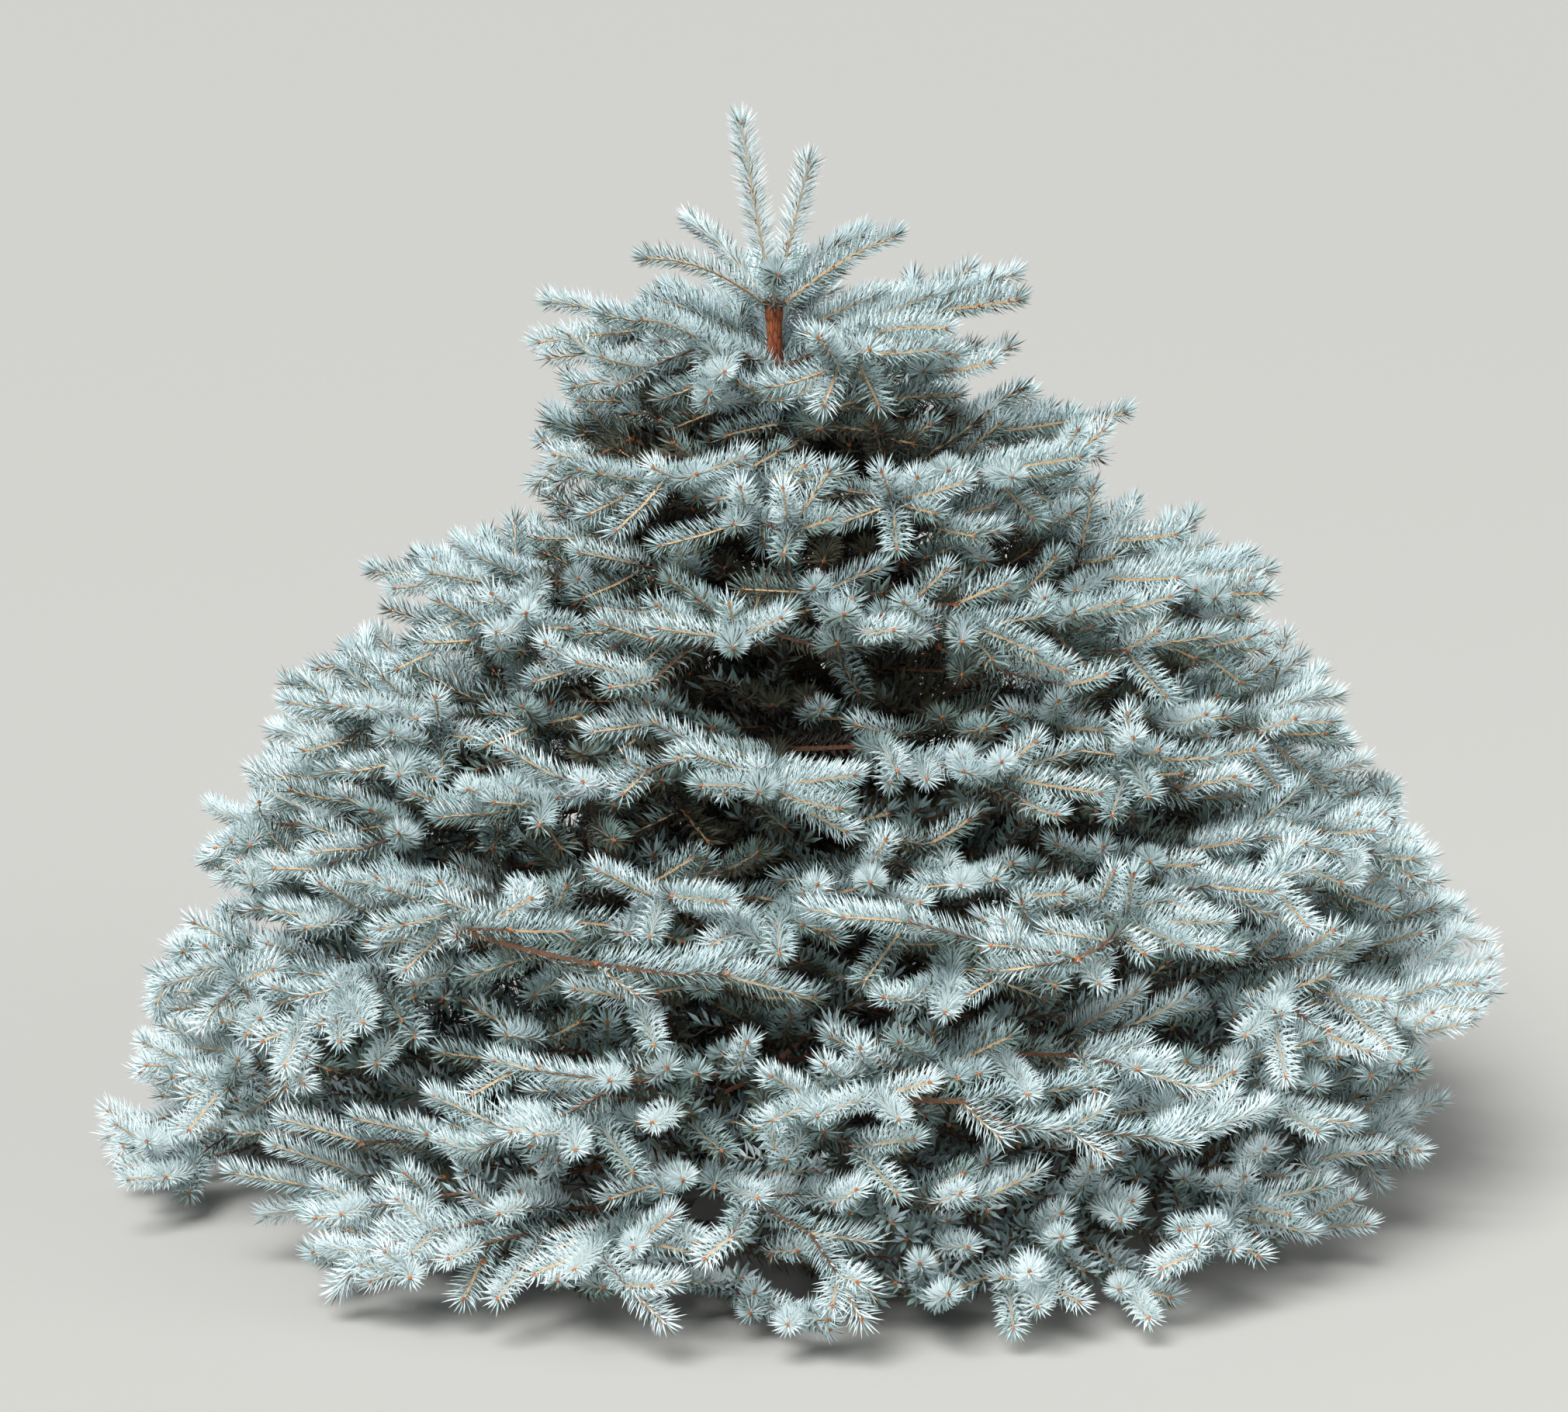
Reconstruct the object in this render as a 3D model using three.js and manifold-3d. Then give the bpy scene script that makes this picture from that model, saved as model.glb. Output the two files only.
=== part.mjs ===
// A low, broad blue spruce with a forked leader, rooted in the ground.
// Millimetres, +Z up. The origin is the centre of the trunk's flat cut at ground level.
// -Y is the side that faces the viewer, and +X is the viewer's right.
import * as THREE from "three";
import { mergeVertices } from "three/addons/utils/BufferGeometryUtils.js";
import Module from "manifold-3d";

const wasm = await Module();
wasm.setup();

// Trunk
const forkHeight = 877; // where the trunk ends and the two leaders begin
const footRadius = 27; // at the ground, without the flare
const forkRadius = 6.5;
const flare = 13; // how far the root flare stands out at the ground
const flareHeight = 40; // height over which the flare fades to a third
const flareLobes = 5;
const lobeDepth = 0.25; // as a share of the flare
const trunkLean = -10; // sideways shift of the trunk's top
const trunkSway = 3;
const trunkSides = 20;
const trunkSteps = 11;
const ringCrowding = 1.6; // over 1, the trunk's rings lie closer together near the ground

// Boughs
const boughSides = 5;
const boughSteps = 3;
const boughTaper = 0.55; // tip radius as a share of root radius
const sag = 9; // how far the middle of a bough hangs below a straight line
const unevenTurn = 0.22; // spread of the azimuths, as a share of the angle between two boughs
const unevenReach = 0.07; // by how much the shortest bough falls short, as a share
const boughSweep = 8; // largest difference in azimuth from root to tip, in degrees

// Whorls of boughs from the top down. height: where they leave the trunk. tip: height of their tips.
// reach: from the trunk's axis to the furthest needles. root: a bough's radius at the trunk.
// turn: azimuth of the first bough. lean: how much further they reach to the viewer's right, as a share.
// bare: share of the reach that is a bare bough, 0 where the foliage starts at the trunk.
// pairs: pairs of side sprays in each mass of foliage.
const whorls = [
  { name: "top", height: 858, tip: 940, reach: 144, root: 3,
    count: 5, turn: 54, lean: 0, bare: 0, pairs: 1 },
  { name: "second", height: 796, tip: 858, reach: 262, root: 4,
    count: 5, turn: 18, lean: 0, bare: 0, pairs: 3 },
  { name: "third", height: 698, tip: 742, reach: 352, root: 5,
    count: 4, turn: 45, lean: 0.16, bare: 0, pairs: 3 },
  { name: "fourth", height: 588, tip: 612, reach: 456, root: 7,
    count: 4, turn: 0, lean: 0.1, bare: 0.25, pairs: 3 },
  { name: "fifth", height: 474, tip: 490, reach: 560, root: 8,
    count: 5, turn: 54, lean: 0.06, bare: 0.27, pairs: 4 },
  { name: "sixth", height: 356, tip: 364, reach: 640, root: 9,
    count: 5, turn: 18, lean: 0.04, bare: 0.3, pairs: 4 },
  { name: "seventh", height: 234, tip: 234, reach: 708, root: 10,
    count: 5, turn: 54, lean: 0.04, bare: 0.32, pairs: 4 },
  { name: "skirt", height: 112, tip: 88, reach: 696, root: 9,
    count: 5, turn: 28, lean: -0.02, bare: 0, pairs: 3 },
];

// Leaders. root: sideways place of its foot on the fork. tip: place of its furthest needles.
const leaders = [
  { name: "left", root: -3.4, tip: [-43, 0, 1051] },
  { name: "right", root: 3.4, tip: [26, -6, 1014] },
];
const leaderWidth = 40;
const leaderRings = 5;
const leaderCone = { radius: 14, spread: 0.34 }; // the leaders' own space above the fork

// Clearances
const gap = 0.3; // between pieces that meet
const spaceMargin = 1.2; // from foliage to the edge of its own space
const trunkMargin = 5; // from foliage to the trunk
const groundClearance = 6;

// Twigs and sprays of needles
const twigRadius = 2.6;
const firstSpray = 0.33; // place of the first pair along the bough's line
const rootAngle = 82; // angle of a side spray to its bough, at the trunk and at the bough's tip
const tipAngle = 34;
const angleSpread = 8;
const sprayLift = { left: 8, right: 10 }; // one hand rises and the other droops, in degrees
const longestSpray = 0.5; // as a share of the whorl's reach
const shortestSpray = 0.5; // as a share of a usual spray's length
const lengthStep = 12; // a side spray that doesn't fit is tried this much shorter
const ringSpacing = 86; // length of core for each ring of needles
const coreSides = 3;
const coreRadius = 0.15; // this and the next are shares of the spray's width
const needleSweep = 0.3; // how far a needle's tip leans forward
const needleShares = [1, 0.75, 0.5]; // lengths tried for a needle, as shares of its full length
const tipTaper = 0.6; // length of the last needles as a share of the others

const bark = new THREE.MeshStandardMaterial({ color: 0x6b4a38, roughness: 0.95, metalness: 0 });
const needles = new THREE.MeshStandardMaterial({ color: 0x9ab4ba, roughness: 0.7, metalness: 0 });

const xAxis = new THREE.Vector3(1, 0, 0);
const yAxis = new THREE.Vector3(0, 1, 0);
const up = new THREE.Vector3(0, 0, 1);
const radians = THREE.MathUtils.degToRad;
const mix = THREE.MathUtils.lerp;

// A repeatable number from 0 to 1 for a pair of whole numbers.
function chance(n, k) {
  const x = Math.sin(n * 12.9898 + k * 78.233) * 43758.5453;
  return x - Math.floor(x);
}

// A solid from a geometry, with vertices at the same place made one.
function solidOf(geometry) {
  const shape = new THREE.BufferGeometry().setAttribute("position", geometry.attributes.position);
  if (geometry.index) shape.setIndex(geometry.index);
  const merged = mergeVertices(shape, 1e-4);
  return new wasm.Manifold(
    new wasm.Mesh({
      numProp: 3,
      vertProperties: new Float32Array(merged.attributes.position.array),
      triVerts: new Uint32Array(merged.index.array),
    }),
  );
}

function solidOfTriangles(triangles) {
  const places = triangles.flat().flatMap((p) => [p.x, p.y, p.z]);
  const geometry = new THREE.BufferGeometry();
  geometry.setAttribute("position", new THREE.Float32BufferAttribute(places, 3));
  return solidOf(geometry);
}

function geometryOf(solid) {
  const mesh = solid.getMesh();
  const geometry = new THREE.BufferGeometry();
  geometry.setAttribute("position", new THREE.BufferAttribute(new Float32Array(mesh.vertProperties), 3));
  geometry.setIndex(new THREE.BufferAttribute(new Uint32Array(mesh.triVerts), 1));
  geometry.computeVertexNormals();
  return geometry;
}

// Directions square to a path, with side x over = along. Over points up where it can.
function across(along) {
  const reference = Math.abs(along.z) > 0.9 ? yAxis : up;
  const side = new THREE.Vector3().crossVectors(reference, along).normalize();
  return { side, over: new THREE.Vector3().crossVectors(along, side) };
}

const levelRings = () => ({ side: xAxis, over: yAxis });

function around(centre, { side, over }, radius, angle) {
  return centre
    .clone()
    .addScaledVector(side, radius * Math.cos(angle))
    .addScaledVector(over, radius * Math.sin(angle));
}

// A tapering limb: a cylinder whose rings are carried along path(t), t from 0 at the root to 1 at the tip.
function limb(path, radiusAt, sides, steps, directions = across) {
  const geometry = new THREE.CylinderGeometry(1, 1, 1, sides, steps);
  const place = geometry.attributes.position;
  const step = 0.001;
  for (let i = 0; i < place.count; i++) {
    const t = place.getY(i) + 0.5;
    const along = path(Math.min(t + step, 1)).sub(path(Math.max(t - step, 0))).normalize();
    const angle = Math.atan2(-place.getZ(i), place.getX(i));
    const radius = Math.hypot(place.getX(i), place.getZ(i)) * radiusAt(t, angle);
    const point = around(path(t), directions(along), radius, angle);
    place.setXYZ(i, point.x, point.y, point.z);
  }
  return geometry;
}

const ringHeight = (t) => forkHeight * t ** ringCrowding;
const ringHeights = Array.from({ length: trunkSteps + 1 }, (_, k) => ringHeight(k / trunkSteps));

// A value at a height of the trunk, straight between the values at the rings below and above.
function betweenRings(height, valueAt) {
  const z = Math.min(height, forkHeight);
  const k = Math.max(ringHeights.findIndex((ring) => ring >= z), 1);
  const [low, high] = [ringHeights[k - 1], ringHeights[k]];
  return mix(valueAt(low), valueAt(high), (z - low) / (high - low));
}

function trunkCentre(z) {
  const swing = (height) => {
    const share = height / forkHeight;
    return trunkLean * share ** 4 + trunkSway * Math.sin(2 * Math.PI * share);
  };
  return new THREE.Vector3(betweenRings(z, swing), 0, z);
}

function trunkRadius(z, angle) {
  const lobes = 1 + lobeDepth * Math.cos(flareLobes * angle);
  const radiusAt = (height) =>
    mix(footRadius, forkRadius, height / forkHeight) + flare * lobes * Math.exp(-height / flareHeight);
  return betweenRings(z, radiusAt);
}

// The trunk's rings stand level, so its foot is a flat cut.
function trunkGeometry() {
  const path = (t) => trunkCentre(ringHeight(t));
  const radiusAt = (t, angle) => trunkRadius(ringHeight(t), angle);
  return limb(path, radiusAt, trunkSides, trunkSteps, levelRings);
}

// Height of a whorl's boughs at a distance from the trunk's axis.
function lineHeight(whorl, distance) {
  const share = distance / whorl.reach;
  return mix(whorl.height, whorl.tip, share) - sag * Math.sin(Math.PI * Math.min(share, 1));
}

// A whorl's boughs with their azimuths in degrees, spread evenly and then shifted a little.
function azimuths(level) {
  const whorl = whorls[level];
  return Array.from({ length: whorl.count }, (_, i) => {
    const shift = (chance(level * 17 + i, 1) - 0.5) * unevenTurn;
    return whorl.turn + ((i + shift) * 360) / whorl.count;
  });
}

function reachAt(level, index, azimuth) {
  const whorl = whorls[level];
  const shortfall = unevenReach * chance(level * 17 + index, 2);
  return whorl.reach * (1 - shortfall + whorl.lean * Math.cos(radians(azimuth)));
}

// The space that belongs to one mass: a sector between its neighbours, and a layer between the whorls
// above and below. Returns a test that a point lies inside.
function spaceOf(level, index) {
  const own = whorls[level];
  const above = whorls[level - 1];
  const below = whorls[level + 1];
  const all = azimuths(level);
  const before = index > 0 ? all[index - 1] : all[own.count - 1] - 360;
  const after = index < own.count - 1 ? all[index + 1] : all[0] + 360;
  const first = radians((all[index] + before) / 2);
  const second = radians((all[index] + after) / 2);
  const foot = trunkCentre(own.height);
  return (p) => {
    const x = p.x - foot.x;
    const y = p.y - foot.y;
    const distance = Math.hypot(x, y);
    const pastFirst = y * Math.cos(first) - x * Math.sin(first);
    const beforeSecond = x * Math.sin(second) - y * Math.cos(second);
    if (Math.min(pastFirst, beforeSecond) < spaceMargin) return false;
    if (distance < trunkRadius(p.z, 0) + trunkMargin || p.z < groundClearance) return false;
    const line = lineHeight(own, distance);
    if (below && p.z < (line + lineHeight(below, distance)) / 2 + spaceMargin) return false;
    if (above) return p.z < (line + lineHeight(above, distance)) / 2 - spaceMargin;
    return distance > leaderCone.radius + leaderCone.spread * (p.z - forkHeight) + spaceMargin;
  };
}

function leaderSpace(isLeft) {
  const middle = trunkCentre(forkHeight).x;
  return (p) => {
    const ownSide = (p.x - middle) * (isLeft ? -1 : 1) > spaceMargin / 2;
    const coneRadius = leaderCone.radius + leaderCone.spread * (p.z - forkHeight);
    return ownSide && Math.hypot(p.x - middle, p.y) < coneRadius && p.z > forkHeight + gap;
  };
}

// A spray of needles: a slim core whose faces each carry one needle that leans forward. A needle that
// would leave the space is shortened, or left out. Returns null where the core itself doesn't fit.
function sprayTriangles(space, root, heading, length, width, rings) {
  const along = heading.clone().normalize();
  const directions = across(along);
  const sweep = width * needleSweep;
  const loops = Array.from({ length: rings }, (_, k) => {
    const swell = Math.sin((Math.PI * (k + 0.9)) / (rings + 0.8));
    const centre = root.clone().addScaledVector(along, ((length - sweep) * (k + 0.7)) / (rings + 0.2));
    const radius = width * coreRadius * (0.5 + 0.5 * swell);
    return Array.from({ length: coreSides }, (_, j) =>
      around(centre, directions, radius, (2 * Math.PI * (j + k / 2)) / coreSides),
    );
  });
  const tip = root.clone().addScaledVector(along, length);
  if (![tip, ...loops.flat()].every(space)) return null;

  const triangles = [];
  const needle = (a, b, c) => {
    const middle = a.clone().add(b).add(c).divideScalar(3);
    const distance = middle.clone().sub(root).dot(along);
    const outward = middle.clone().sub(root).addScaledVector(along, -distance).normalize();
    const forward = Math.min(distance + sweep, length - 2);
    const taper = THREE.MathUtils.mapLinear(Math.max(distance / length, 0.6), 0.6, 1, 1, tipTaper);
    for (const share of needleShares) {
      const apex = root
        .clone()
        .addScaledVector(along, mix(distance, forward, share))
        .addScaledVector(outward, (share * taper * width) / 2);
      if (space(apex)) {
        triangles.push([a, b, apex], [b, c, apex], [c, a, apex]);
        return;
      }
    }
    triangles.push([a, b, c]);
  };
  const last = loops[rings - 1];
  for (let j = 0; j < coreSides; j++) {
    const next = (j + 1) % coreSides;
    triangles.push([root, loops[0][next], loops[0][j]]);
    needle(tip, last[j], last[next]);
    for (let k = 0; k + 1 < rings; k++) {
      needle(loops[k][j], loops[k][next], loops[k + 1][j]);
      needle(loops[k][next], loops[k + 1][next], loops[k + 1][j]);
    }
  }
  return triangles;
}

// One mass of foliage: a stem and the sprays of needles that branch from it, inside its own space.
class Mass {
  constructor(space) {
    this.space = space;
    this.parts = [];
  }

  stem(path, rootRadius, tipRadius, sides, steps, directions) {
    const radiusAt = (t) => mix(rootRadius, tipRadius, t);
    this.parts.push(solidOf(limb(path, radiusAt, sides, steps, directions)));
  }

  spray(root, heading, length, width, rings = 2) {
    const triangles = sprayTriangles(this.space, root, heading, length, width, rings);
    if (triangles) this.parts.push(solidOfTriangles(triangles));
    return triangles !== null;
  }

  // All parts as one body. The largest shell alone is kept, which fills any hollow closed in by needles.
  solid() {
    const whole = this.parts.reduce((sum, part) => sum.add(part));
    return whole.decompose().reduce((best, shell) => (shell.volume() > best.volume() ? shell : best));
  }
}

function turned(heading, degrees, lift) {
  const result = heading.clone().applyAxisAngle(up, radians(degrees));
  result.z += Math.tan(radians(lift));
  return result.normalize();
}

// The line of a bough from its root at the trunk (t = 0) to its tip (t = 1).
function boughLine(level, index) {
  const whorl = whorls[level];
  const azimuth = azimuths(level)[index];
  const reach = reachAt(level, index, azimuth);
  const centre = trunkCentre(whorl.height);
  const lowEdge = whorl.height - whorl.root;
  const trunkFace = trunkRadius(lowEdge, radians(azimuth)) + Math.abs(trunkCentre(lowEdge).x - centre.x);
  const tilt = Math.atan(Math.abs(lineHeight(whorl, 10) - lineHeight(whorl, 0)) / 10);
  const start = trunkFace + gap + whorl.root * Math.sin(tilt);
  const sweep = (chance(level * 17 + index, 3) - 0.5) * boughSweep;
  return (t) => {
    const distance = mix(start, reach, t);
    const angle = radians(azimuth + sweep * t * t);
    const x = centre.x + distance * Math.cos(angle);
    return new THREE.Vector3(x, centre.y + distance * Math.sin(angle), lineHeight(whorl, distance));
  };
}

const boughRadius = (whorl, t) => whorl.root * mix(1, boughTaper, t);
const sprayLength = (whorl) => mix(74, 136, Math.min(whorl.reach / 600, 1));
const sprayWidth = (whorl) => mix(36, 106, Math.min(whorl.reach / 600, 1));

function growMass(level, index) {
  const whorl = whorls[level];
  const line = boughLine(level, index);
  const mass = new Mass(spaceOf(level, index));
  const start = whorl.bare > 0 ? whorl.bare + gap / line(0).distanceTo(line(1)) : 0;
  const stemEnd = 1 - (0.75 * sprayLength(whorl)) / whorl.reach;
  mass.stem((t) => line(mix(start, stemEnd, t)), boughRadius(whorl, whorl.bare > 0 ? 1 : 0), twigRadius, 4, 2);
  const last = line(stemEnd - 0.02);
  const ahead = line(1).sub(last);
  mass.spray(last, ahead, ahead.length(), sprayWidth(whorl));
  const first = Math.max(start + 0.03, firstSpray);
  for (let pair = 0; pair < whorl.pairs; pair++) {
    const t = mix(first, stemEnd - 0.05, pair / Math.max(whorl.pairs - 1, 1));
    const along = line(t + 0.02).sub(line(t - 0.02)).normalize();
    for (const hand of [-1, 1]) {
      const seed = level * 101 + index * 11 + pair * 2 + Math.max(hand, 0);
      const angle = mix(rootAngle, tipAngle, t) + angleSpread * (chance(seed, 4) - 0.5);
      const lift = (hand > 0 ? sprayLift.right : -sprayLift.left) * (pair % 2 ? -1 : 1);
      growSideSpray(mass, line(t), turned(along, hand * angle, lift), level, index);
    }
  }
  return mass.solid();
}

// A side spray that reaches the rim of the crown, or the furthest place that its space allows.
function growSideSpray(mass, root, heading, level, index) {
  const whorl = whorls[level];
  const least = shortestSpray * sprayLength(whorl);
  for (let length = whorl.reach * longestSpray; length >= least; length -= lengthStep) {
    const end = root.clone().addScaledVector(heading, length);
    const azimuth = THREE.MathUtils.radToDeg(Math.atan2(end.y, end.x));
    if (Math.hypot(end.x, end.y) > reachAt(level, index, azimuth)) continue;
    const rings = THREE.MathUtils.clamp(Math.round(length / ringSpacing), 2, 4);
    if (mass.spray(root, heading, length, sprayWidth(whorl), rings)) return;
  }
}

// A leader stands on the trunk's flat top, so its stem starts with a level ring.
function growLeader({ root, tip }, isLeft) {
  const mass = new Mass(leaderSpace(isLeft));
  const base = trunkCentre(forkHeight).add(new THREE.Vector3(root, 0, gap));
  const rise = new THREE.Vector3(...tip).sub(base);
  mass.stem((t) => base.clone().addScaledVector(rise, 0.25 * t), 2.8, 2, 5, 1, levelRings);
  const foot = base.clone().addScaledVector(rise, 0.06);
  mass.spray(foot, rise, rise.length() * 0.94, leaderWidth, leaderRings);
  return mass.solid();
}

const tree = new THREE.Group();

function addPiece(name, geometry, material) {
  const mesh = new THREE.Mesh(geometry, material);
  mesh.name = name;
  tree.add(mesh);
}

addPiece("trunk", trunkGeometry(), bark);
leaders.forEach((leader, i) => {
  addPiece(`leader_${leader.name}`, geometryOf(growLeader(leader, i === 0)), needles);
});
whorls.forEach((whorl, level) => {
  for (let index = 0; index < whorl.count; index++) {
    const label = `${whorl.name}_${index + 1}`;
    if (whorl.bare > 0) {
      const line = boughLine(level, index);
      const path = (t) => line(t * whorl.bare);
      addPiece(`bough_${label}`, limb(path, (t) => boughRadius(whorl, t), boughSides, boughSteps), bark);
    }
    addPiece(`needles_${label}`, geometryOf(growMass(level, index)), needles);
  }
});

export default tree;
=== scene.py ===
# Blue spruce: bark, twigs, buds and needles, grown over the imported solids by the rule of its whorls
import bpy
import math
import numpy as np
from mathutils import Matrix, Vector, kdtree


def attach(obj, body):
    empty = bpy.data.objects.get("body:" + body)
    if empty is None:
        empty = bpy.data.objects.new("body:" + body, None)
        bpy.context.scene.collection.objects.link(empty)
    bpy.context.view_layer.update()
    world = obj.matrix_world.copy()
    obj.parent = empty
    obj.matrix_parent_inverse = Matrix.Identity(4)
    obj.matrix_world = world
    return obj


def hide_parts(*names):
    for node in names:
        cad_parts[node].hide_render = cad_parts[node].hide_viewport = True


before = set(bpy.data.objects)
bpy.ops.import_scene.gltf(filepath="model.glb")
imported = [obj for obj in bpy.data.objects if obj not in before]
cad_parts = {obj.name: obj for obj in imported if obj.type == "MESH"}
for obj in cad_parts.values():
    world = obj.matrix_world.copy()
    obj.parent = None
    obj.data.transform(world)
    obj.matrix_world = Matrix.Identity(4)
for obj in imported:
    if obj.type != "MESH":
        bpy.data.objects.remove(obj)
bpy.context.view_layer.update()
print("solids loaded:", len(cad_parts), "nodes")

up = np.array([0.0, 0.0, 1.0])
rng = np.random.default_rng(61)


# The tree's own sizes, in metres, as in the solids
trunk = {
    "forkHeight": 0.877,
    "footRadius": 0.027,
    "forkRadius": 0.0065,
    "flare": 0.013,
    "flareHeight": 0.040,
    "flareLobes": 5,
    "lobeDepth": 0.25,
    "lean": -0.010,
    "sway": 0.003,
}
# Heights of a whorl at the trunk and at its tips, its reach, its boughs' radius at the trunk, their number,
# the azimuth of the first one, by what share they reach further to the right, and what share of each is bare
whorlColumns = ("name", "height", "tip", "reach", "root", "count", "turn", "lean", "bare")
whorlRows = [
    ("top", 0.858, 0.940, 0.144, 0.003, 5, 54, 0, 0),
    ("second", 0.796, 0.858, 0.262, 0.004, 5, 18, 0, 0),
    ("third", 0.698, 0.742, 0.338, 0.005, 4, 45, 0.21, 0),
    ("fourth", 0.588, 0.612, 0.456, 0.007, 4, 0, 0.1, 0.25),
    ("fifth", 0.474, 0.490, 0.560, 0.008, 5, 54, 0.06, 0.27),
    ("sixth", 0.356, 0.364, 0.640, 0.009, 5, 18, 0.04, 0.3),
    ("seventh", 0.234, 0.234, 0.708, 0.010, 5, 54, 0.04, 0.32),
    ("skirt", 0.112, 0.088, 0.696, 0.009, 5, 28, -0.02, 0),
]
whorls = [dict(zip(whorlColumns, row)) for row in whorlRows]
boughRule = {
    "sag": 0.009,
    "unevenTurn": 0.22,  # share of the step between two boughs
    "unevenReach": 0.07,
    "sweep": 8,  # degrees that a bough may curve aside
    "inTrunk": 0.6,  # where it starts, as a share of the trunk's radius
}
arches = (0.020, 0.030)  # how far the middle of a bough rises in the first two whorls
tipRises = (  # how far the tip of each bough there stands above its whorl's
    (-0.014, 0.0, -0.026, -0.034, 0.004),
    (0.036, -0.010, -0.045, -0.027, 0.0),
)
leaders = [  # toTip is the room for its last needles, crook how far it may bend
    {"foot": (-0.0134, 0.0, 0.877), "tip": (-0.043, 0.0, 1.051), "toTip": 0.012, "crook": 0.05},
    {"foot": (-0.0066, 0.0, 0.877), "tip": (0.026, -0.006, 1.014), "toTip": 0.012, "crook": 0.05},
]
lowest = len(whorls) - 1
openWhorls = 2  # the first ones, of long single shoots
denseFrom = 3  # the first one of those that are full of shoots
goldenAngle = 137.5  # degrees from one shoot to the next around the trunk


def chance(n, k):
    # The fraction of sin(12.9898 n + 78.233 k) times a large number: repeatable, from 0 to 1
    x = math.sin(n * 12.9898 + k * 78.233) * 43758.5453
    return x - math.floor(x)


def mix(a, b, t):
    # From a to b as t goes from 0 to 1
    return a + (b - a) * t


def unit(v):
    # Each vector divided by its length
    return v / np.maximum(np.linalg.norm(v, axis=-1, keepdims=True), 1e-9)


def trunkX(z):
    # Sideways place of the trunk's axis: a lean with the fourth power of the height, plus one slow wave
    share = z / trunk["forkHeight"]
    return trunk["lean"] * share ** 4 + trunk["sway"] * np.sin(2 * np.pi * share)


def trunkRadius(z, angle=0.0):
    # A straight taper, plus a lobed flare that fades upwards
    lobes = 1 + trunk["lobeDepth"] * np.cos(trunk["flareLobes"] * angle)
    flare = trunk["flare"] * lobes * np.exp(-z / trunk["flareHeight"])
    return mix(trunk["footRadius"], trunk["forkRadius"], z / trunk["forkHeight"]) + flare


def lineHeight(whorl, distance):
    # Straight from the root's height to the tip's, less half a sine wave of sag
    share = distance / whorl["reach"]
    sag = boughRule["sag"] * np.sin(np.pi * np.minimum(share, 1))
    return mix(whorl["height"], whorl["tip"], share) - sag


def boughHeight(level, index, distance):
    # The whorl's line; in the first two also half a sine wave of arch, and a rise with the distance squared
    height = lineHeight(whorls[level], distance)
    if level < len(arches):
        share = np.minimum(distance / whorls[level]["reach"], 1)
        height = height + arches[level] * np.sin(np.pi * share) + tipRises[level][index] * share ** 2
    return height


def boughChance(level, index, k):
    # A chance that stays the same for a bough
    return chance(level * 17 + index, k)


def azimuths(level):
    # Evenly around the trunk, each one off by its own share of the step
    whorl = whorls[level]
    shifts = [(boughChance(level, i, 1) - 0.5) * boughRule["unevenTurn"] for i in range(whorl["count"])]
    return [whorl["turn"] + (i + shift) * 360 / whorl["count"] for i, shift in enumerate(shifts)]


def reachAt(level, index, azimuth):
    # The whorl's reach, less the bough's own shortfall, more on the side that the tier leans to
    whorl = whorls[level]
    shortfall = boughRule["unevenReach"] * boughChance(level, index, 2)
    return whorl["reach"] * (1 - shortfall + whorl["lean"] * math.cos(math.radians(azimuth)))


def turnedBy(azimuth, other):
    # Degrees between two azimuths, the short way round
    return abs((azimuth - other + 180) % 360 - 180)


def nearestBough(level, azimuth):
    # The bough of a whorl that an azimuth is least turned from
    turns = [turnedBy(azimuth, own) for own in azimuths(level)]
    return turns.index(min(turns))


def boughLine(level, index):
    # The middle line of a bough as a function of its share, from inside the trunk to its tip
    whorl = whorls[level]
    azimuth = azimuths(level)[index]
    reach = reachAt(level, index, azimuth)
    centreX = float(trunkX(whorl["height"]))
    start = float(trunkRadius(whorl["height"])) * boughRule["inTrunk"]
    sweep = (boughChance(level, index, 3) - 0.5) * boughRule["sweep"]

    def line(t):
        # The distance grows evenly, the azimuth with the square, and the height follows the whorl's line
        t = np.asarray(t, dtype=float)
        distance = mix(start, reach, t)
        angle = np.radians(azimuth + sweep * t * t)
        x = centreX + distance * np.cos(angle)
        return np.stack([x, distance * np.sin(angle), boughHeight(level, index, distance)], axis=-1)

    return line


room = {
    "toReach": 0.010,  # from a shoot's tip to the mass's reach, for its needles
    "toTrunk": 0.010,
    "toFloor": 0.006,
    "brush": 0.016,  # from a shoot's tip to the next tier and to the floor
    "intoNext": 0.020,  # how far a shoot may stand in the next mass of its whorl
    # Most above the bough's line, at the trunk and at the tip, in the first three whorls
    "risesAbove": ((1.0, 1.0), (0.026, -0.010), (0.080, 0.0)),
    "underLeaders": (0.014, 0.2),  # clear radius around them, and how fast it widens upwards
    "bevel": (0, 0, 0, 2.4, 1.2, 1.2, 1.2, 1.2),  # how fast each tier draws in above its bough's line
    "trunkInView": ((0.815, 0.868), (0.680, 0.716)),  # heights where nothing hides the trunk's front
    "viewWidth": 0.022,
    "hollows": [  # middle and half sizes of the dark hollows under the tiers
        ((0.03, -0.46, 0.545), (0.20, 0.23, 0.048)),
        ((0.14, -0.50, 0.471), (0.09, 0.13, 0.028)),
        ((-0.17, -0.47, 0.500), (0.10, 0.12, 0.028)),
        ((-0.09, -0.52, 0.442), (0.15, 0.17, 0.034)),
        ((0.21, -0.50, 0.425), (0.10, 0.12, 0.026)),
        ((-0.32, -0.36, 0.490), (0.10, 0.12, 0.022)),
        ((0.33, 0.42, 0.430), (0.16, 0.14, 0.030)),
        ((-0.38, 0.30, 0.540), (0.14, 0.14, 0.030)),
    ],
}


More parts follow.
